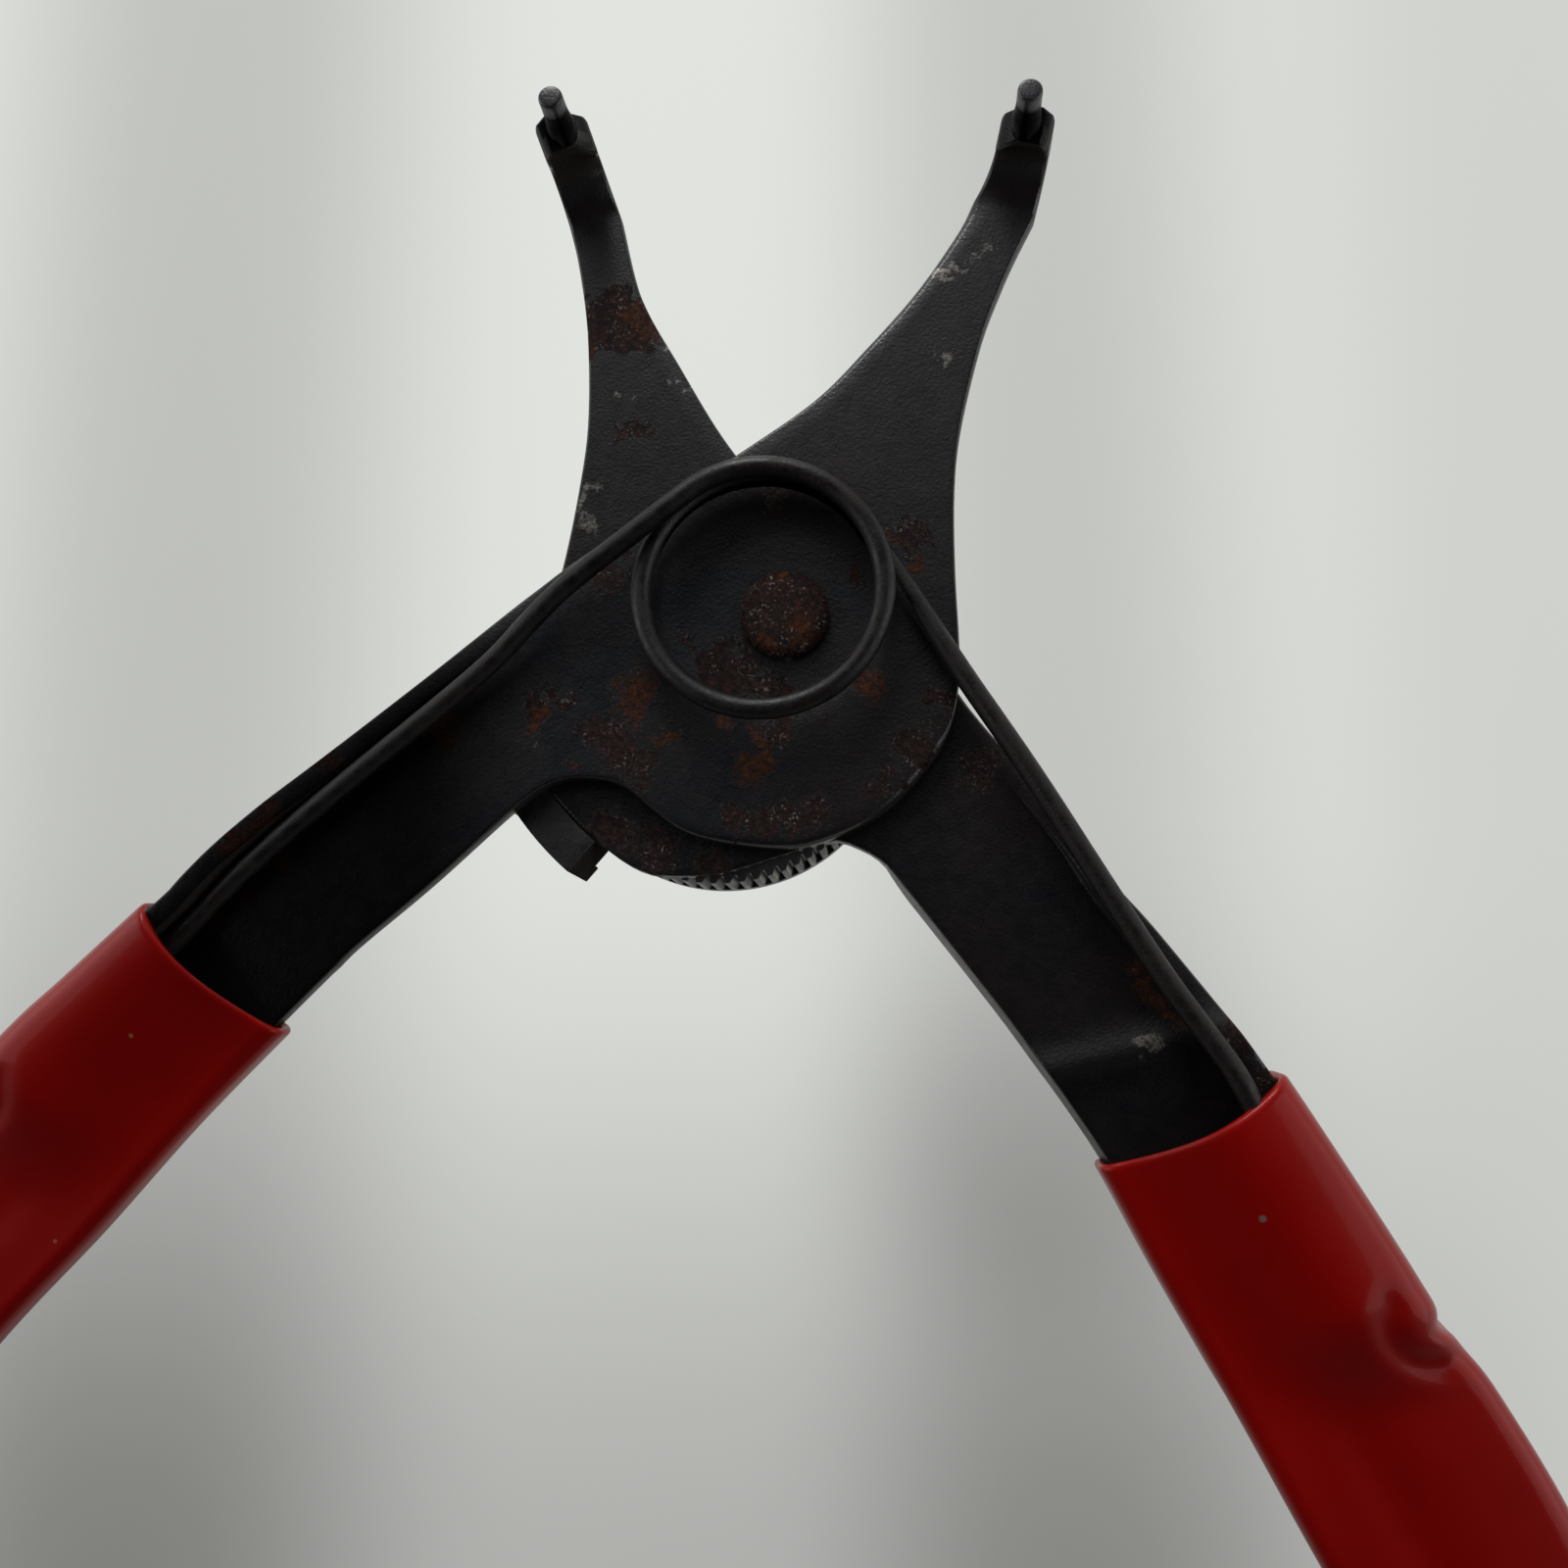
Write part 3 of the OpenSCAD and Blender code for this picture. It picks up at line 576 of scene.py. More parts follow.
def rusted_steel(
    name, base, film, browns=(), oranges=(), worn=(), general=0.3, rough=(0.24, 0.34), wear=0.5, side_light=0.0,
    painted_shade_at=(),
):
    """Blackened steel with rust at given places (x, y, reach in mm), worn marks, fine pits and rubbed edges.

    It is near black with a satin oil film between base and film, matt brown crust in the browns with
    small painted glints, light specks that stand for highlights, dry orange in the oranges, and bare grey
    where it is worn. general is the share of faint stains, rough the range of roughness, wear the strength
    of rubbed edges, and side_light a painted light that greys the sheet's cut sides, which face sideways.
    Each entry of painted_shade_at is an amount and limits of (axis, clear, dark) in mm, past which
    painted shade darkens the surface and takes its shine away.
    """
    bloom_edge = 2.68
    material, tree = new_material(name)
    place = add_node(tree, "TexCoord", out="Object")
    # Patterns by the size of their grain: clouds of 17 mm, ragged patches of 2 mm, crust of 0.7 mm and
    # grain of 0.35 mm; then a drift of 4 mm that pulls the blooms out of round.
    cloud, ragged, crust, grain, drift = [
        add_node(
            tree, "TexNoise", {"Vector": place, "Scale": scale, "Detail": detail, "Roughness": roughness}
        )
        for scale, detail, roughness in (
            (60, 4, 0.6), (520, 7, 0.75), (1500, 5, 0.72), (2900, 2, 0.5), (230, 4, 0.65),
        )
    ]
    drift = drift.node.outputs["Color"]
    pull = add_node(tree, "VectorMath", {0: drift, 1: (0.5, 0.5, 0.5)}, operation="SUBTRACT")
    pulled = add_node(tree, "VectorMath", {0: pull, 1: (0.009, 0.009, 0), 2: place}, operation="MULTIPLY_ADD")
    plan = add_node(tree, "VectorMath", {0: pulled, 1: (1, 1, 0)}, operation="MULTIPLY")
    torn = add_node(tree, "Math", {0: ragged, 1: 2.3}, operation="MULTIPLY")
    crumbled = add_node(tree, "Math", {0: crust, 1: 1.1}, operation="MULTIPLY")
    broken = add_node(tree, "Math", {0: torn, 1: crumbled}, operation="ADD")

    def blooms(spots, soft):
        """1 inside the spots, breaking up raggedly to 0 outside them."""
        if not spots:
            nowhere = add_node(tree, "Value")
            nowhere.default_value = 0.0
            return nowhere
        nearest = None
        for x, y, reach in spots:
            middle = (x / 1000, y / 1000, 0)
            away = add_node(tree, "VectorMath", {0: plan, 1: middle}, out="Value", operation="DISTANCE")
            away = add_node(tree, "Math", {0: away, 1: 1000 / reach}, operation="MULTIPLY")
            if nearest is not None:
                away = add_node(tree, "Math", {0: nearest, 1: away}, operation="MINIMUM")
            nearest = away
        wavy = add_node(tree, "Math", {0: broken, 1: nearest}, operation="ADD")
        limits = {"From Min": bloom_edge - soft, "From Max": bloom_edge + soft, "To Min": 1.0, "To Max": 0.0}
        return add_node(tree, "MapRange", {"Value": wavy, **limits}, interpolation_type="SMOOTHSTEP")

    brown, orange, mark = blooms(browns, 0.3), blooms(oranges, 0.55), blooms(worn, 0.35)

    # What each share follows: the mottle of the stains, sharp edges, and how upright the surface faces, which
    # places the painted side light on the cut sides.
    mottle = add_node(tree, "Math", {0: ragged, 1: 0.35}, operation="MULTIPLY")
    mottle = add_node(tree, "Math", {0: mottle, 1: cloud}, operation="ADD")
    pointed = add_node(tree, "NewGeometry", out="Pointiness")
    sharp = add_node(tree, "Math", {0: ragged, 1: 0.1}, operation="MULTIPLY")
    sharp = add_node(tree, "Math", {0: sharp, 1: pointed}, operation="ADD")
    facing = add_node(tree, "SeparateXYZ", {0: add_node(tree, "TexCoord", out="Normal")}, out="Z")
    upright = add_node(tree, "Math", {0: facing}, operation="ABSOLUTE")
    filmed, stain, painted_glint_grains, patches, scuffed, rubbed, painted_side_light, sheen = [
        add_node(
            tree, "MapRange",
            {"Value": value, "From Min": low, "From Max": high, "To Min": first, "To Max": last},
            interpolation_type="SMOOTHSTEP",
        )
        for value, low, high, first, last in (
            (cloud, 0.35, 0.65, 0.0, 1.0),
            (mottle, 0.82 - general, 1.1 - general, 0.0, 0.5),
            (grain, 0.57, 0.65, 0.0, 1.0),
            (ragged, 0.48, 0.62, 0.0, 1.0),
            (crust, 0.42, 0.56, 0.0, 1.0),
            (sharp, 0.585, 0.66, 0.0, wear),
            (upright, 0.55, 0.25, 0.0, side_light),
            (ragged, 0.3, 0.7, rough[0], rough[1]),
        )
    ]

    # Brown crust, orange dust, and painted glints: light specks in the crust that stand for highlights on
    # single grains.
    brown_crust = add_node(
        tree, "ValToRGB", {0: crust},
        stops=((0.34, "#0c0605"), (0.5, "#20120f"), (0.62, "#35211c"), (0.74, "#54403a")),
    )
    orange_dust = add_node(
        tree, "ValToRGB", {0: crust}, stops=((0.34, "#180b07"), (0.52, "#40200d"), (0.68, "#653413"))
    )
    orange_share = add_node(tree, "Math", {0: orange, 1: 0.85}, operation="MULTIPLY")
    patches = add_node(tree, "Math", {0: brown, 1: patches}, operation="MULTIPLY")
    painted_glint = add_node(tree, "Math", {0: painted_glint_grains, 1: patches}, operation="MULTIPLY")
    painted_glint = add_node(tree, "Math", {0: painted_glint, 1: 0.75}, operation="MULTIPLY")

    # Bare metal on rubbed edges and worn marks, and the parts that painted shade darkens.
    scuffed = add_node(tree, "Math", {0: mark, 1: scuffed}, operation="MULTIPLY")
    bare = add_node(tree, "Math", {0: rubbed, 1: scuffed}, operation="MAXIMUM")
    spot = add_node(tree, "SeparateXYZ", {0: place}).node
    painted_shade = add_node(tree, "Value")
    painted_shade.default_value = 0.0
    for amount, *limits in painted_shade_at:
        within = None
        for axis, clear, full in limits:
            inside = add_node(
                tree, "MapRange",
                {
                    "Value": spot.outputs[axis], "From Min": clear / 1000, "From Max": full / 1000,
                    "To Max": amount if within is None else 1.0,
                },
                interpolation_type="SMOOTHSTEP",
            )
            if within is not None:
                inside = add_node(tree, "Math", {0: within, 1: inside}, operation="MULTIPLY")
            within = inside
        painted_shade = add_node(tree, "Math", {0: painted_shade, 1: within}, operation="MAXIMUM")
    faces = add_node(tree, "Math", {0: 1.0, 1: painted_side_light}, operation="SUBTRACT")
    painted_shade = add_node(tree, "Math", {0: painted_shade, 1: faces}, operation="MULTIPLY")

    # The tones lie on each other from the blackening up to the painted shade; the glint tone is a painted
    # highlight and the side tone a painted light.
    colour = base
    for share, tone in (
        (filmed, film), (stain, "#1a1210"), (brown, brown_crust), (orange_share, orange_dust),
        (painted_glint, "#8f8681"), (painted_side_light, "#302c29"), (bare, "#86827a"), (painted_shade, "#040303"),
    ):
        colour = add_node(
            tree, "Mix", {share_in: share, below_in: colour, above_in: tone}, colour_out, data_type="RGBA"
        )

    # Rust is rough, and takes the gloss away faster than it roughens; so do the painted shade and the cut
    # sides.
    rust = add_node(tree, "Math", {0: brown, 1: orange}, operation="MAXIMUM")
    dry, matted = stain, rust
    for operation, other in (("MULTIPLY", 0.35), ("ADD", rust), ("MINIMUM", 1.0)):
        dry = add_node(tree, "Math", {0: dry, 1: other}, operation=operation)
    dry = add_node(tree, "Math", {0: dry, 1: dry}, operation="MULTIPLY")
    for operation, other in (("MULTIPLY", 2.4), ("MINIMUM", 1.0), ("MULTIPLY", -0.4), ("ADD", 0.5)):
        matted = add_node(tree, "Math", {0: matted, 1: other}, operation=operation)
    matt = add_node(
        tree, "Mix", {share_in: dry, number_below_in: sheen, number_above_in: 0.55}, data_type="FLOAT"
    )
    lost = add_node(tree, "Math", {0: painted_side_light, 1: 1.18}, operation="MULTIPLY")
    lost = add_node(tree, "Math", {0: painted_shade, 1: lost}, operation="MAXIMUM")
    left = add_node(tree, "Math", {0: 1.0, 1: lost}, operation="SUBTRACT")
    shine = add_node(tree, "Math", {0: matted, 1: left}, operation="MULTIPLY")
    pits = add_node(tree, "Math", {0: crust, 1: 0.5}, operation="SUBTRACT")
    pits = add_node(tree, "Math", {0: rust, 1: pits}, operation="MULTIPLY")
    sand = add_node(tree, "Math", {0: grain, 1: 0.1}, operation="MULTIPLY")
    relief = add_node(tree, "Math", {0: pits, 1: sand}, operation="ADD")
    bump = add_node(tree, "Bump", {"Strength": 0.8, "Distance": 0.0005, "Height": relief})
    metal = add_node(tree, "Math", {0: bare, 1: 0.7}, operation="MULTIPLY")
    shader = add_node(
        tree, "BsdfPrincipled",
        {
            "Base Color": colour, "Roughness": matt, "Metallic": metal, "IOR": 1.55,
            "Specular IOR Level": shine, "Normal": bump,
        },
    )
    add_node(tree, "OutputMaterial", {"Surface": shader})
    return material


def finish_piece(piece, material, body, slot, *nodes):
    """Gives a piece its material and its body, and hides the CAD nodes that it stands for."""
    piece.data.materials.clear()
    piece.data.materials.append(material)
    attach(piece, body)
    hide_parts(*nodes)


# Painted shade darkens this arm's upturned strap and its left handle, and painted light greys its cut sides.
front_steel = rusted_steel(
    "front arm blackened steel", "#14161a", "#1f1e20",
    browns=(
        (-20.7, 4.9, 1.6), (-18.5, 7.4, 0.9), (14.0, 8.8, 2.4), (-0.6, 14.4, 1.7), (-11.5, -2.1, 1.0),
        (-8.0, -5.0, 2.3), (-4.9, -5.7, 2.2), (-6.4, -7.3, 2.5), (-2.4, -8.3, 2.2), (0.3, -8.4, 1.7),
        (-0.3, -13.0, 1.8), (-18.7, -14.3, 3.0), (-20.9, -13.6, 1.8), (-16.2, -16.2, 2.2),
        (-15.0, -18.5, 1.0), (16.5, -10.2, 1.4), (17.7, -9.3, 1.0), (13.6, -14.6, 2.2), (13.9, -17.1, 1.6),
        (11.2, -19.5, 1.3), (9.4, -20.6, 0.9), (-5.8, -23.6, 1.6), (-2.8, -23.3, 1.8), (0.3, -23.1, 1.8),
        (3.7, -22.6, 1.8), (-27.7, -9.6, 1.8), (-25.3, -9.3, 0.8), (-23.6, -17.1, 1.1),
    ),
    oranges=(
        (12.1, 8.6, 0.7), (14.6, 5.6, 0.9), (7.5, 4.2, 0.6), (-7.3, -12.6, 1.2), (-3.0, -13.3, 1.1),
        (-16.7, -8.4, 2.0), (-16.3, -10.3, 1.3), (-12.6, -13.2, 0.9), (-2.9, -16.8, 1.8), (9.5, -8.2, 1.5),
        (-27.9, -11.7, 1.4), (-38.4, -12.1, 1.3), (-40.9, -12.6, 0.8), (-57.2, -27.0, 1.5),
        (-60.8, -30.9, 1.2), (-63.6, -33.8, 1.4), (-57.4, -22.6, 2.2), (-60.4, -25.8, 1.6),
        (-51.0, -15.9, 1.4),
    ),
    worn=(
        (18.7, 39.9, 0.8), (19.6, 41.0, 0.8), (22.1, 42.2, 0.6), (22.9, 43.7, 0.5), (17.1, 29.6, 0.8),
        (17.9, 30.5, 0.5), (-27.8, -15.0, 0.35),
    ),
    general=0.24, side_light=0.8, painted_shade_at=((0.75, ("Z", 9.5, 12.5)), (0.8, ("X", -26, -42))),
)
finish_piece(front_arm, front_steel, "front_arm_body", "arm_steel", "front_arm")

# Painted shade darkens this arm's upturned strap and, faintly, its right handle; painted light greys its cut
# sides.
back_steel = rusted_steel(
    "back arm blackened steel", "#121316", "#1b1a1b",
    browns=(
        (-22.3, 38.7, 2.3), (-20.5, 40.2, 2.1), (-17.8, 38.3, 2.4), (-19.0, 35.4, 2.3), (-21.9, 35.6, 1.8),
        (-19.9, 37.1, 2.0), (-18.2, 23.5, 1.2), (-19.7, 22.9, 0.9), (-17.0, 24.4, 0.8), (21.8, -17.3, 1.6),
        (-19.5, -24.0, 2.2), (-14.7, -26.6, 2.4), (-8.0, -27.5, 2.0), (47.6, -47.6, 1.6), (50.6, -51.6, 1.9),
        (53.2, -55.6, 1.6), (56.0, -60.2, 1.8),
    ),
    oranges=(
        (-19.0, 38.6, 1.7), (-17.4, 36.8, 1.5), (-17.9, 40.1, 1.0), (-23.1, 34.4, 0.8), (37.9, -38.1, 1.1),
        (38.9, -40.8, 1.3), (40.2, -42.9, 1.4), (41.2, -45.0, 1.0), (36.6, -35.4, 0.9),
    ),
    worn=(
        (38.4, -47.6, 1.0), (-14.9, 34.4, 0.6), (-13.4, 30.7, 0.5), (-12.2, 28.7, 0.4), (-23.3, 39.6, 0.35),
        (-20.1, 27.5, 0.35), (-17.8, 27.4, 0.35), (-23.1, 12.8, 0.9), (-23.5, 14.8, 0.8), (-22.7, 16.4, 0.7),
    ),
    general=0.28, side_light=0.8, painted_shade_at=((0.75, ("Z", 7.5, 10.5)), (0.2, ("Y", -26, -40))),
)
finish_piece(back_arm, back_steel, "back_arm_body", "arm_steel", "back_arm")

# ---------------------------------------------------------------------------
# Pivot rivet: a soft steel rivet with a low hammered dome, rusted all over, turned up from one profile
# and fixed in the back arm, so that the front arm turns on its shank.


def turned(name, profile, x, y, steps):
    """Spins a profile of (radius, height) about an upright axis."""
    rings = []
    for r, z in profile:
        turns = [2 * math.pi * k / steps for k in range(steps)]
        rings.append([Vector((x + r * math.cos(a), y + r * math.sin(a), z)) for a in turns])
    return loft(name, rings)


rivet = turned(
    "pivot_rivet_worked",
    [
        (0, 0.0), (3.6, 0.0), (4.35, 0.1), (4.58, 0.35), (4.6, 0.9), (4.6, 1.55), (4.5, 1.75), (4.2, 1.8),
        (3.4, 1.8), (3.35, 4.0), (3.35, 6.75), (4.5, 6.75), (4.85, 6.8), (4.98, 7.05), (4.98, 7.3),
        (4.8, 7.65), (4.35, 7.98), (3.7, 8.2), (2.9, 8.38), (2.0, 8.5), (1.0, 8.58), (0, 8.6),
    ],
    x=0, y=0, steps=96,
)
# The hammer left the dome a little uneven, by less than 0.1 mm.
head_from, three_lobed, two_lobed = 0.0069, 0.00006, 0.00007
for v in rivet.data.vertices:
    if v.co.z > head_from:
        r = math.hypot(v.co.x, v.co.y) * 1000
        a = math.atan2(v.co.y, v.co.x)
        v.co.z += three_lobed * math.sin(3 * a + 0.7) * min(r / 3, 1)
        v.co.z -= two_lobed * step_up(r, 0, 3) * math.cos(2 * a - 0.4)
rivet_steel = rusted_steel(
    "rusted rivet steel", "#16100e", "#1f1613",
    browns=((0, 0, 9),), oranges=((-0.4, 4.2, 0.7), (1.6, -2.6, 1.5), (-1.5, -3.6, 0.8)),
    general=0.4, wear=0.2,
)
finish_piece(rivet, rivet_steel, "back_arm_body", "rivet_steel", "pivot_rivet")

# ---------------------------------------------------------------------------
# Tip pins: hard round pins whose tapered roots are driven into the jaw blocks. The ends are faced flat,
# with a broken edge, and rubbed grey; the shanks get painted shade, darker down toward their blocks.
pin_steel = rusted_steel(
    "hard pin steel", "#17161a", "#242328", general=0.1, rough=(0.28, 0.42), wear=1.0,
    painted_shade_at=((0.98, ("Z", 20.6, 19.2)),),
)
for side, body, x, y in (
    ("left", "back_arm_body", -24.817, 55.474),
    ("right", "front_arm_body", 27.641, 53.542),
):
    pin = turned(
        side + "_pin_worked",
        [
            (0, 12.7), (1.2, 12.7), (1.4, 13.6), (1.6, 14.6), (1.66, 15.6), (1.66, 16.4), (1.56, 17.2),
            (1.44, 18.0), (1.38, 18.8), (1.37, 21.3), (1.33, 21.5), (1.22, 21.62), (1.05, 21.66),
            (0.5, 21.68), (0, 21.69),
        ],
        x, y, steps=48,
    )
    finish_piece(pin, pin_steel, body, "pin_steel", side + "_tip_pin")

# ---------------------------------------------------------------------------
# Ratchet: a toothed sector under the rear lobe, worn to bare grey on its teeth, and the curved pawl that
# rides it from under the left handle. Both are filed from sheet and wall, so their edges are broken.


def worked_copy(node, name, edge_mm, edge_angle=35, segments=3):
    """A copy of a CAD node's mesh, merged, with its sharp edges broken."""
    bpy.ops.object.select_all(action="DESELECT")
    piece = bpy.data.objects.new(name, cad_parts[node].data.copy())
    bpy.context.scene.collection.objects.link(piece)
    piece.data.name = name
    piece.select_set(True)
    bpy.context.view_layer.objects.active = piece
    bpy.ops.object.mode_set(mode="EDIT")
    bpy.ops.mesh.select_mode(type="EDGE")
    bpy.ops.mesh.select_all(action="SELECT")
    bpy.ops.mesh.remove_doubles(threshold=2e-6)
    bpy.ops.mesh.dissolve_limited(angle_limit=math.radians(0.3))
    bpy.ops.mesh.select_all(action="DESELECT")
    bpy.ops.mesh.edges_select_sharp(sharpness=math.radians(edge_angle))
    bpy.ops.mesh.bevel(offset=edge_mm / 1000, segments=segments, profile=0.5, clamp_overlap=True)
    bpy.ops.mesh.select_all(action="DESELECT")
    bpy.ops.object.mode_set(mode="OBJECT")
    bpy.ops.object.shade_smooth_by_angle(angle=math.radians(32))
    return piece


sector = worked_copy("ratchet_sector", "ratchet_sector_worked", edge_mm=0.1)
sector_steel = rusted_steel(
    "worn ratchet steel", "#2c2c2d", "#4b4b4b", general=0.22, rough=(0.35, 0.5), wear=1.0
)
finish_piece(sector, sector_steel, "back_arm_body", "ratchet_steel", "ratchet_sector")

# The upper part of the pawl's inner wall stands back a little from the lobe's rim.
wall_from, wall_to, wall_low, stands_back = 33.0, 33.7, -0.0055, 0.24
pawl = worked_copy("ratchet_pawl", "ratchet_pawl_worked", edge_mm=0.22)
for v in pawl.data.vertices:
    r = math.hypot(v.co.x, v.co.y) * 1000
    if wall_from < r < wall_to and v.co.z > wall_low:
        v.co.x *= (r - stands_back) / r
        v.co.y *= (r - stands_back) / r
# Painted light greys the pawl's cut sides, such as its end face.
pawl_steel = rusted_steel(
    "pawl steel", "#0c0c0e", "#141416", general=0.15, rough=(0.4, 0.55), wear=0.1, side_light=0.9
)
finish_piece(pawl, pawl_steel, "pawl_body", "ratchet_steel", "ratchet_pawl")

# Stud and leaf spring: the pawl turns on a headed stud and a small blade presses it inward.
stud = worked_copy("pawl_stud", "pawl_stud_worked", edge_mm=0.15)
finish_piece(stud, rivet_steel, "front_arm_body", "rivet_steel", "pawl_stud")
leaf = worked_copy("pawl_spring", "pawl_spring_worked", edge_mm=0.08)
leaf_steel = rusted_steel("leaf spring steel", "#15151a", "#202026", general=0.2)
finish_piece(leaf, leaf_steel, "front_arm_body", "spring_steel", "pawl_spring")

# ---------------------------------------------------------------------------
# Return spring: one length of 2.4 mm spring wire, wound once and a quarter round the pivot, with
# a leg pushed down into each grip. It twists between the two arms as the handles close.
wire_thick = 2.4
coil_x, coil_y, coil_radius, coil_low, coil_pitch = -2.3, 2.1, 13.6, 8.35, 2.9
left_leaves, right_leaves = 125, 31.7
left_leg = [
    (-80.9, -50.1, 6), (-75.5, -44.3, 6.75), (-71.2, -39.6, 7.4), (-66.6, -34.9, 8), (-60.9, -29, 8.25),
    (-55.7, -24.3, 8.35), (-48.9, -18.6, 8.5), (-38.1, -9.8, 8.7), (-32.4, -5, 9.1), (-28.6, -1.1, 9.6),
    (-24.3, 2.9, 10.3), (-17.5, 7.8, 11.4), (-13.2, 10.9, 11.9),
]
right_leg = [
    (12.7, 3.9, 8.35), (19.4, -7.1, 8.4), (26.8, -18.7, 8.5), (34.7, -31.9, 8.5), (40.5, -41.3, 8.5),
    (46.3, -49.6, 8.4), (48.9, -54.6, 8.1), (51.6, -60, 7.4), (54.4, -65.6, 6.6), (57.3, -71.2, 6),
]
turns = (left_leaves - right_leaves + 360) / 360
coil_steps = 110
coil = []
for k in range(coil_steps + 1):
    around = math.radians(left_leaves - 360 * turns * k / coil_steps)
    rise = coil_pitch * turns * (1 - k / coil_steps)
    x, y = coil_x + coil_radius * math.cos(around), coil_y + coil_radius * math.sin(around)
    coil.append(Vector((x, y, coil_low + rise)))
route = smooth_run(left_leg, 5) + coil + smooth_run(right_leg, 5)

wire = bpy.data.curves.new("return_spring_wire", "CURVE")
wire.dimensions = "3D"
wire.bevel_depth = wire_thick / 2000
wire.bevel_resolution = 6
wire.use_fill_caps = True
strand = wire.splines.new("POLY")
strand.points.add(len(route) - 1)
for point, p in zip(strand.points, route):
    point.co = (p.x / 1000, p.y / 1000, p.z / 1000, 1)
spring = bpy.data.objects.new("return_spring_wire", wire)
bpy.context.scene.collection.objects.link(spring)
bpy.ops.object.select_all(action="DESELECT")
spring.select_set(True)
bpy.context.view_layer.objects.active = spring
bpy.ops.object.convert(target="MESH")
spring = bpy.context.object
bpy.ops.object.shade_smooth_by_angle(angle=math.radians(40))
# Painted shade darkens the wire's lower turn where it lies under the upper turn, its legs low down by the
# grips, and the whole wire a little.
spring_steel = rusted_steel(
    "oiled spring wire", "#0a0908", "#171310", general=0.34, rough=(0.34, 0.62), wear=0.0,
    painted_shade_at=((1.0, ("Y", 5, 8), ("Z", 10.1, 9.5)), (0.85, ("Z", 8.4, 7.2)), (0.4, ("Z", 30, 20))),
)
spring.data.materials.clear()
spring.data.materials.append(spring_steel)
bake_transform(spring)
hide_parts("return_spring")

# ---------------------------------------------------------------------------
# Grips: each handle was dipped in red vinyl, which sets soft, with a satin gloss. It is drawn tight from
# the flange and the wire down to the plate, has a rolled lip at its mouth, and sinks into a dimple where
# the flange and the wire end underneath.
vinyl_thick, rim_reach = 1.3, 0.7


def place_past(run, mouth, distance):
    """The place on a run at a distance beyond the mouth line, and the run's direction there."""
    for a, b in zip(run, run[1:]):
        here, there = past(mouth, a.x, a.y), past(mouth, b.x, b.y)
        if there >= distance or b is run[-1]:
            return a.lerp(b, (distance - here) / (there - here)), (b - a).normalized()


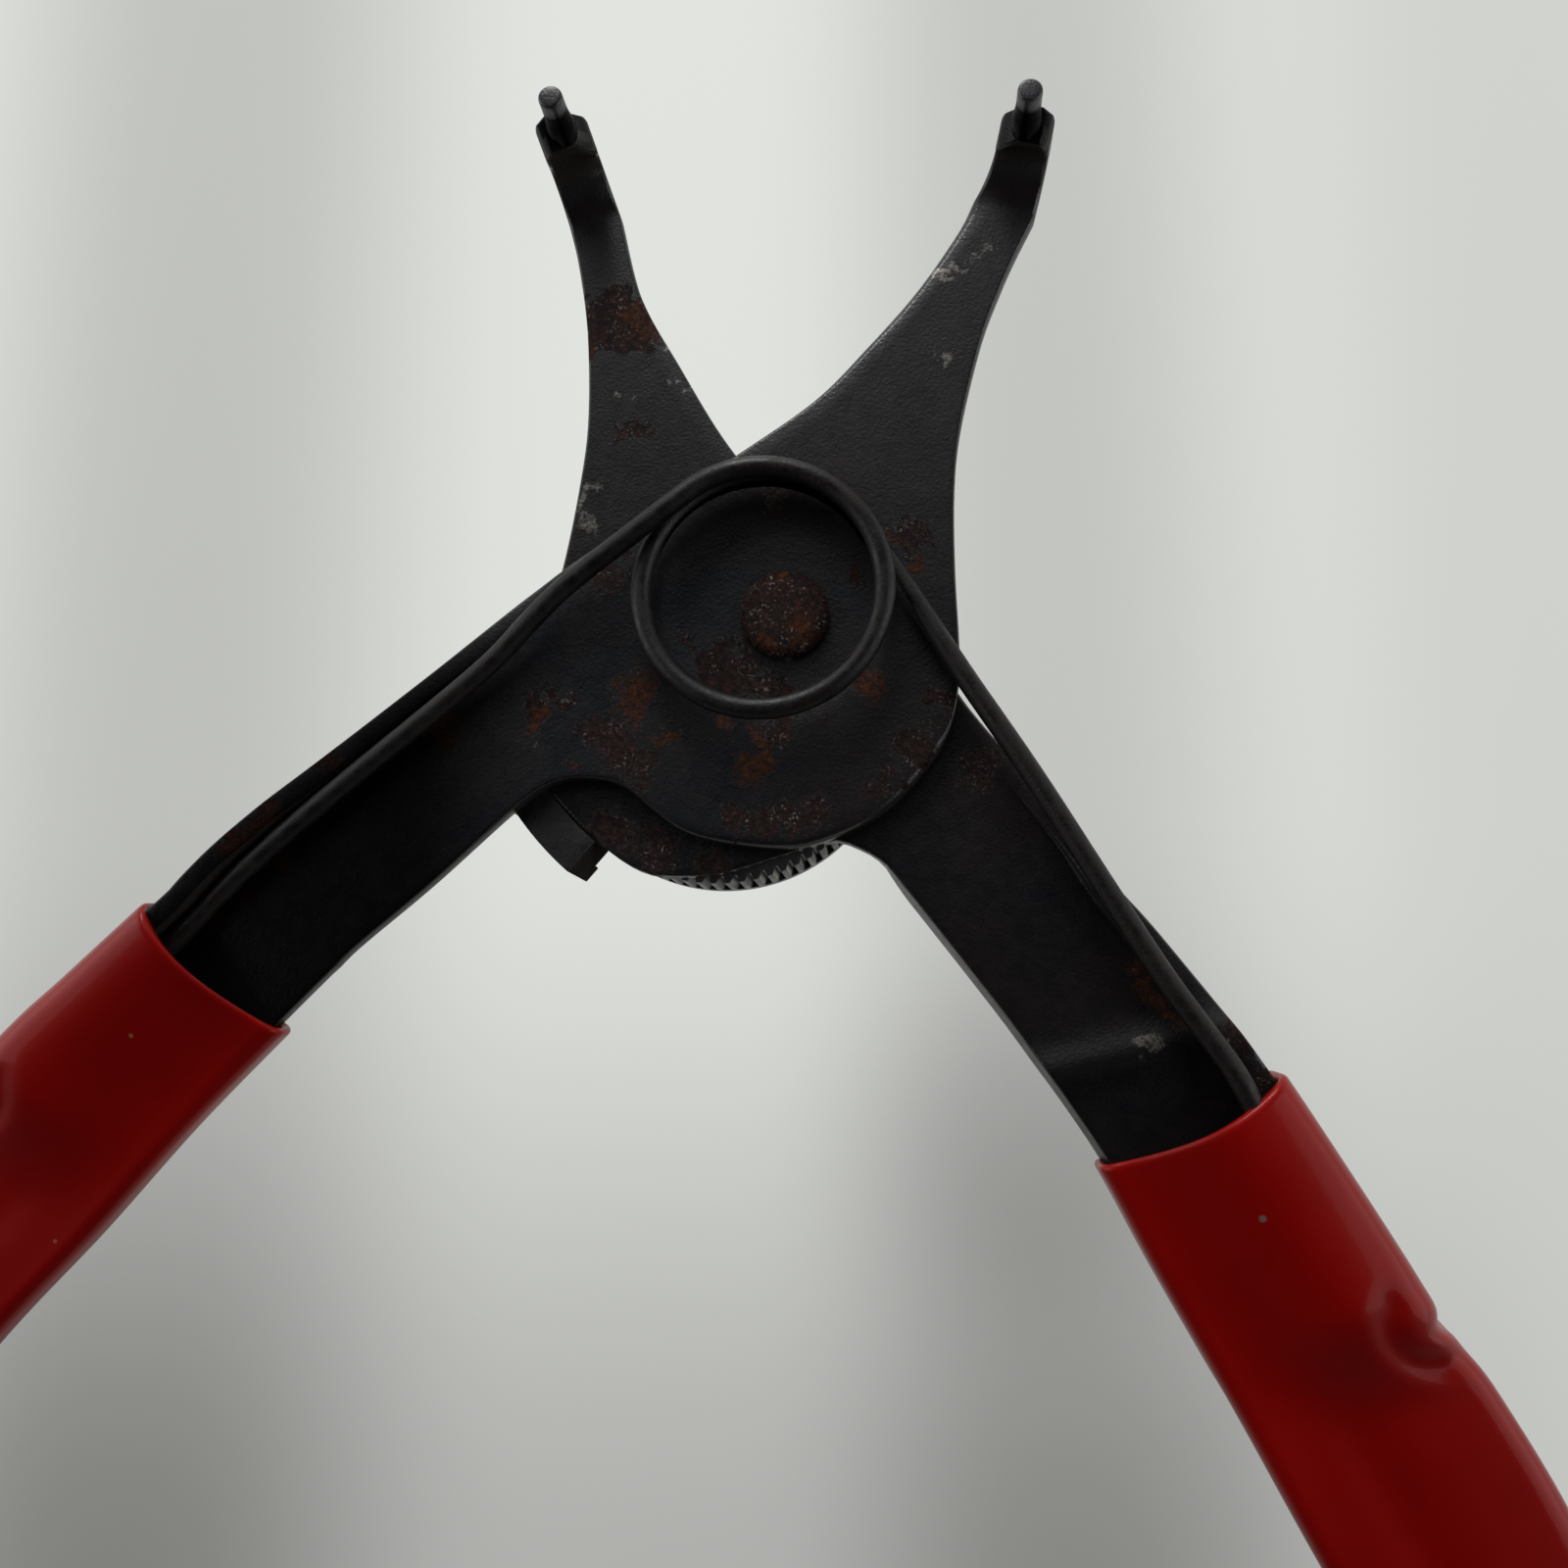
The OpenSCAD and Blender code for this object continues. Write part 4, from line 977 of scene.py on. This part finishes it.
def grip_rings(outer, inner, mouth, level, crease, hump, lip, last, sag):
    """Rings of a dipped grip: up the inside of the mouth, round its lip, along the handle and round its end.

    hump gives its height at the handle's outer edge and at its peak, and the distances from that edge to the
    peak and to the foot. lip is the height of the handle's lip, last the depth at which the end starts to
    close, and sag the depth of the shallow valley along the grip.
    """
    edge_high, peak_high, peak_at, foot_at = hump
    # The dimple's middle: its depth past the mouth and its distance from the outer edge.
    dimple_depth, dimple_off = 24.6, 2.2
    end_reach = 6.4
    # Each round: its depth past the mouth, its share of the vinyl's thickness and the turn of the end's cap.
    rounds = [(depth, -0.03, 0.0) for depth in (9.0, 4.0, 1.2)]
    for k in range(7):
        turn = math.pi * k / 6
        rounds.append((rim_reach * (1 - math.sin(turn)), 0.5 - 0.5 * math.cos(turn), 0.0))
    rounds += [(rim_reach + (last - rim_reach) * (k / 125) ** 1.15, 1.0, 0.0) for k in range(1, 126)]
    rounds += [(last, 1.0, math.pi / 2 * k / 12) for k in range(1, 13)]
    rings = []
    for depth, skin, cap in rounds:
        cover = vinyl_thick * skin
        a, along_a = place_past(outer, mouth, depth)
        b, _ = place_past(inner, mouth, depth)
        width = (b - a).length + 2 * cover
        r_top = 0.5 + (1.9 + 0.9 * (1 - step_up(depth, 24, 32))) * max(skin, 0)
        r_low = 0.4 + 1.3 * max(skin, 0)
        lip_here = lip * (1 - step_up(depth, 23, 27))

        def top(s):
            """Height of the outer face over the plate: a soft hump over flange and wire, then a dimple."""
            rise = peak_high - (peak_high - edge_high) * max(1 - s / peak_at, 0) ** 2
            rise *= (1 - step_up(s, peak_at, foot_at)) * (1 - 0.8 * step_up(depth, 20, 33))
            off = math.hypot(depth - dimple_depth, s - dimple_off)
            moat = 0.62 * math.exp(-(((off - 4.1) / 1.6) ** 2))
            moat *= max(step_up(s, 1.5, 5.0), step_up(depth, 24.0, 27.5))
            valley = sag * math.exp(-((((s / width) - 0.6) / 0.1) ** 2)) * step_up(depth, 26, 36)
            return cover + rise - moat * min(rise + 0.4, 1.0) - valley

        low = -sheet - cover
        ring = []
        # The outer rounding ends tangent to the top, at this tilt and this distance from the outer edge.
        tilt = math.atan(max(top(0.75 * r_top + 0.1) - top(0.75 * r_top), 0) / 0.1)
        first = r_top * (1 - math.sin(tilt))
        for k in range(49):
            s = first + (width - r_low - first) * k / 48
            ring.append((s, top(s)))
        ring += arc_of(width - r_low, top(width) - r_low, r_low, 75, 0, 5)
        ring += arc_of(width - r_low, low - lip_here + r_low, r_low, 0, -90, 5)
        for k in range(1, 15):
            s = width - r_low - (width - 2 * r_low) * k / 15
            ring.append((s, low - lip_here * step_up(s, width - 5.5, width - 3.5)))
        ring += arc_of(r_low, low + r_low, r_low, -90, -180, 5)
        centre = top(first) - r_top * math.cos(tilt)
        ring += arc_of(r_top, centre, r_top, 180, 90 + math.degrees(tilt), 8)[:-1]
        out = []
        reach = end_reach * math.sin(cap)
        closed = cap > math.pi / 2 - 0.01
        narrow = 0.0 if closed else math.cos(cap) ** 0.75
        thin = 0.0 if closed else math.cos(cap) ** 0.6
        for s, z in ring:
            outer_part = max(1 - s / 5, 0)
            s += 0.8 * math.exp(-(((depth - 25.2) / 1.3) ** 2)) * outer_part * step_up(z, -0.5, 1.5)
            s -= 0.7 * step_up(depth, 25, 33) * (1 - step_up(depth, 45, 72)) * outer_part
            s0 = s - cover
            p, q = a, b
            if depth < 16:
                # The mouth's edge is curved: it leads at the outer side and lags in the middle.
                lead = (-3.3 + 0.42 * s0 - 0.0128 * s0 * s0) * (1 - step_up(depth, 2, 16))
                p, _ = place_past(outer, mouth, depth + lead)
                q, _ = place_past(inner, mouth, depth + lead)
            line = (q - p).normalized()
            forward = Vector((line.y, -line.x))
            if forward.dot(along_a) < 0:
                forward = -forward
            middle = (q - p).length / 2
            flat_place = p + line * (middle + (s0 - middle) * narrow) + forward * reach
            height = -sheet / 2 + (z + sheet / 2) * thin
            out.append(bent_down(Vector((flat_place.x, flat_place.y, level + height)), crease))
        rings.append(out)
    middle = sum(rings[0], Vector()) / len(rings[0])
    return [[middle.copy() for p in rings[0]]] + rings


# Dipped vinyl is a plasticised PVC skin: deep red, a little cloudy, with a soft highlight, a few nicks
# and a grain of 0.6 mm that barely lifts the surface.
vinyl, tree = new_material("dipped red vinyl")
place = add_node(tree, "TexCoord", out="Object")
cloud = add_node(tree, "TexNoise", {"Vector": place, "Scale": 45, "Detail": 2})
tint = add_node(
    tree, "Mix", {share_in: cloud, below_in: "#6c0403", above_in: "#940906"}, colour_out, data_type="RGBA"
)
for x, y, reach, tone in (
    (48.84, -65.05, 0.45, "#6b5a52"),
    (-71.25, -46.55, 0.3, "#8a5a3a"),
    (-81.18, -68.88, 0.3, "#8a4a48"),
):
    off = add_node(
        tree, "VectorMath", {0: place, 1: (1, 1, 0), 2: (-x / 1000, -y / 1000, 0)}, operation="MULTIPLY_ADD"
    )
    far = add_node(tree, "VectorMath", {0: off}, out="Value", operation="LENGTH")
    nick = add_node(tree, "MapRange", {"Value": far, "From Min": reach / 1000, "From Max": reach / 2000})
    tint = add_node(
        tree, "Mix", {share_in: nick, below_in: tint, above_in: tone}, colour_out, data_type="RGBA"
    )
fine = add_node(tree, "TexNoise", {"Vector": place, "Scale": 1600, "Detail": 2})
bump = add_node(tree, "Bump", {"Strength": 0.3, "Distance": 0.00002, "Height": fine})
shader = add_node(
    tree, "BsdfPrincipled",
    {
        "Base Color": tint, "Roughness": 0.38, "IOR": 1.45, "Specular Tint": "#e08078", "Coat Weight": 0.14,
        "Coat Roughness": 0.1, "Normal": bump, "Coat Normal": bump,
    },
)
add_node(tree, "OutputMaterial", {"Surface": shader})

rings = grip_rings(
    left_outer, left_inner, left_mouth, front_level, left_crease,
    hump=(3.7, 4.6, 4.5, 22.0), lip=0.0, last=82.6, sag=0.2,
)
left_grip = loft("left_grip_vinyl", rings)
finish_piece(left_grip, vinyl, "front_arm_body", "grip_vinyl", "left_grip")
rings = grip_rings(
    right_outer, right_inner, right_mouth, back_level, right_crease,
    hump=(3.4, 5.0, 7.5, 21.5), lip=lip_deep, last=80.0, sag=0.35,
)
right_grip = loft("right_grip_vinyl", rings)
finish_piece(right_grip, vinyl, "back_arm_body", "grip_vinyl", "right_grip")
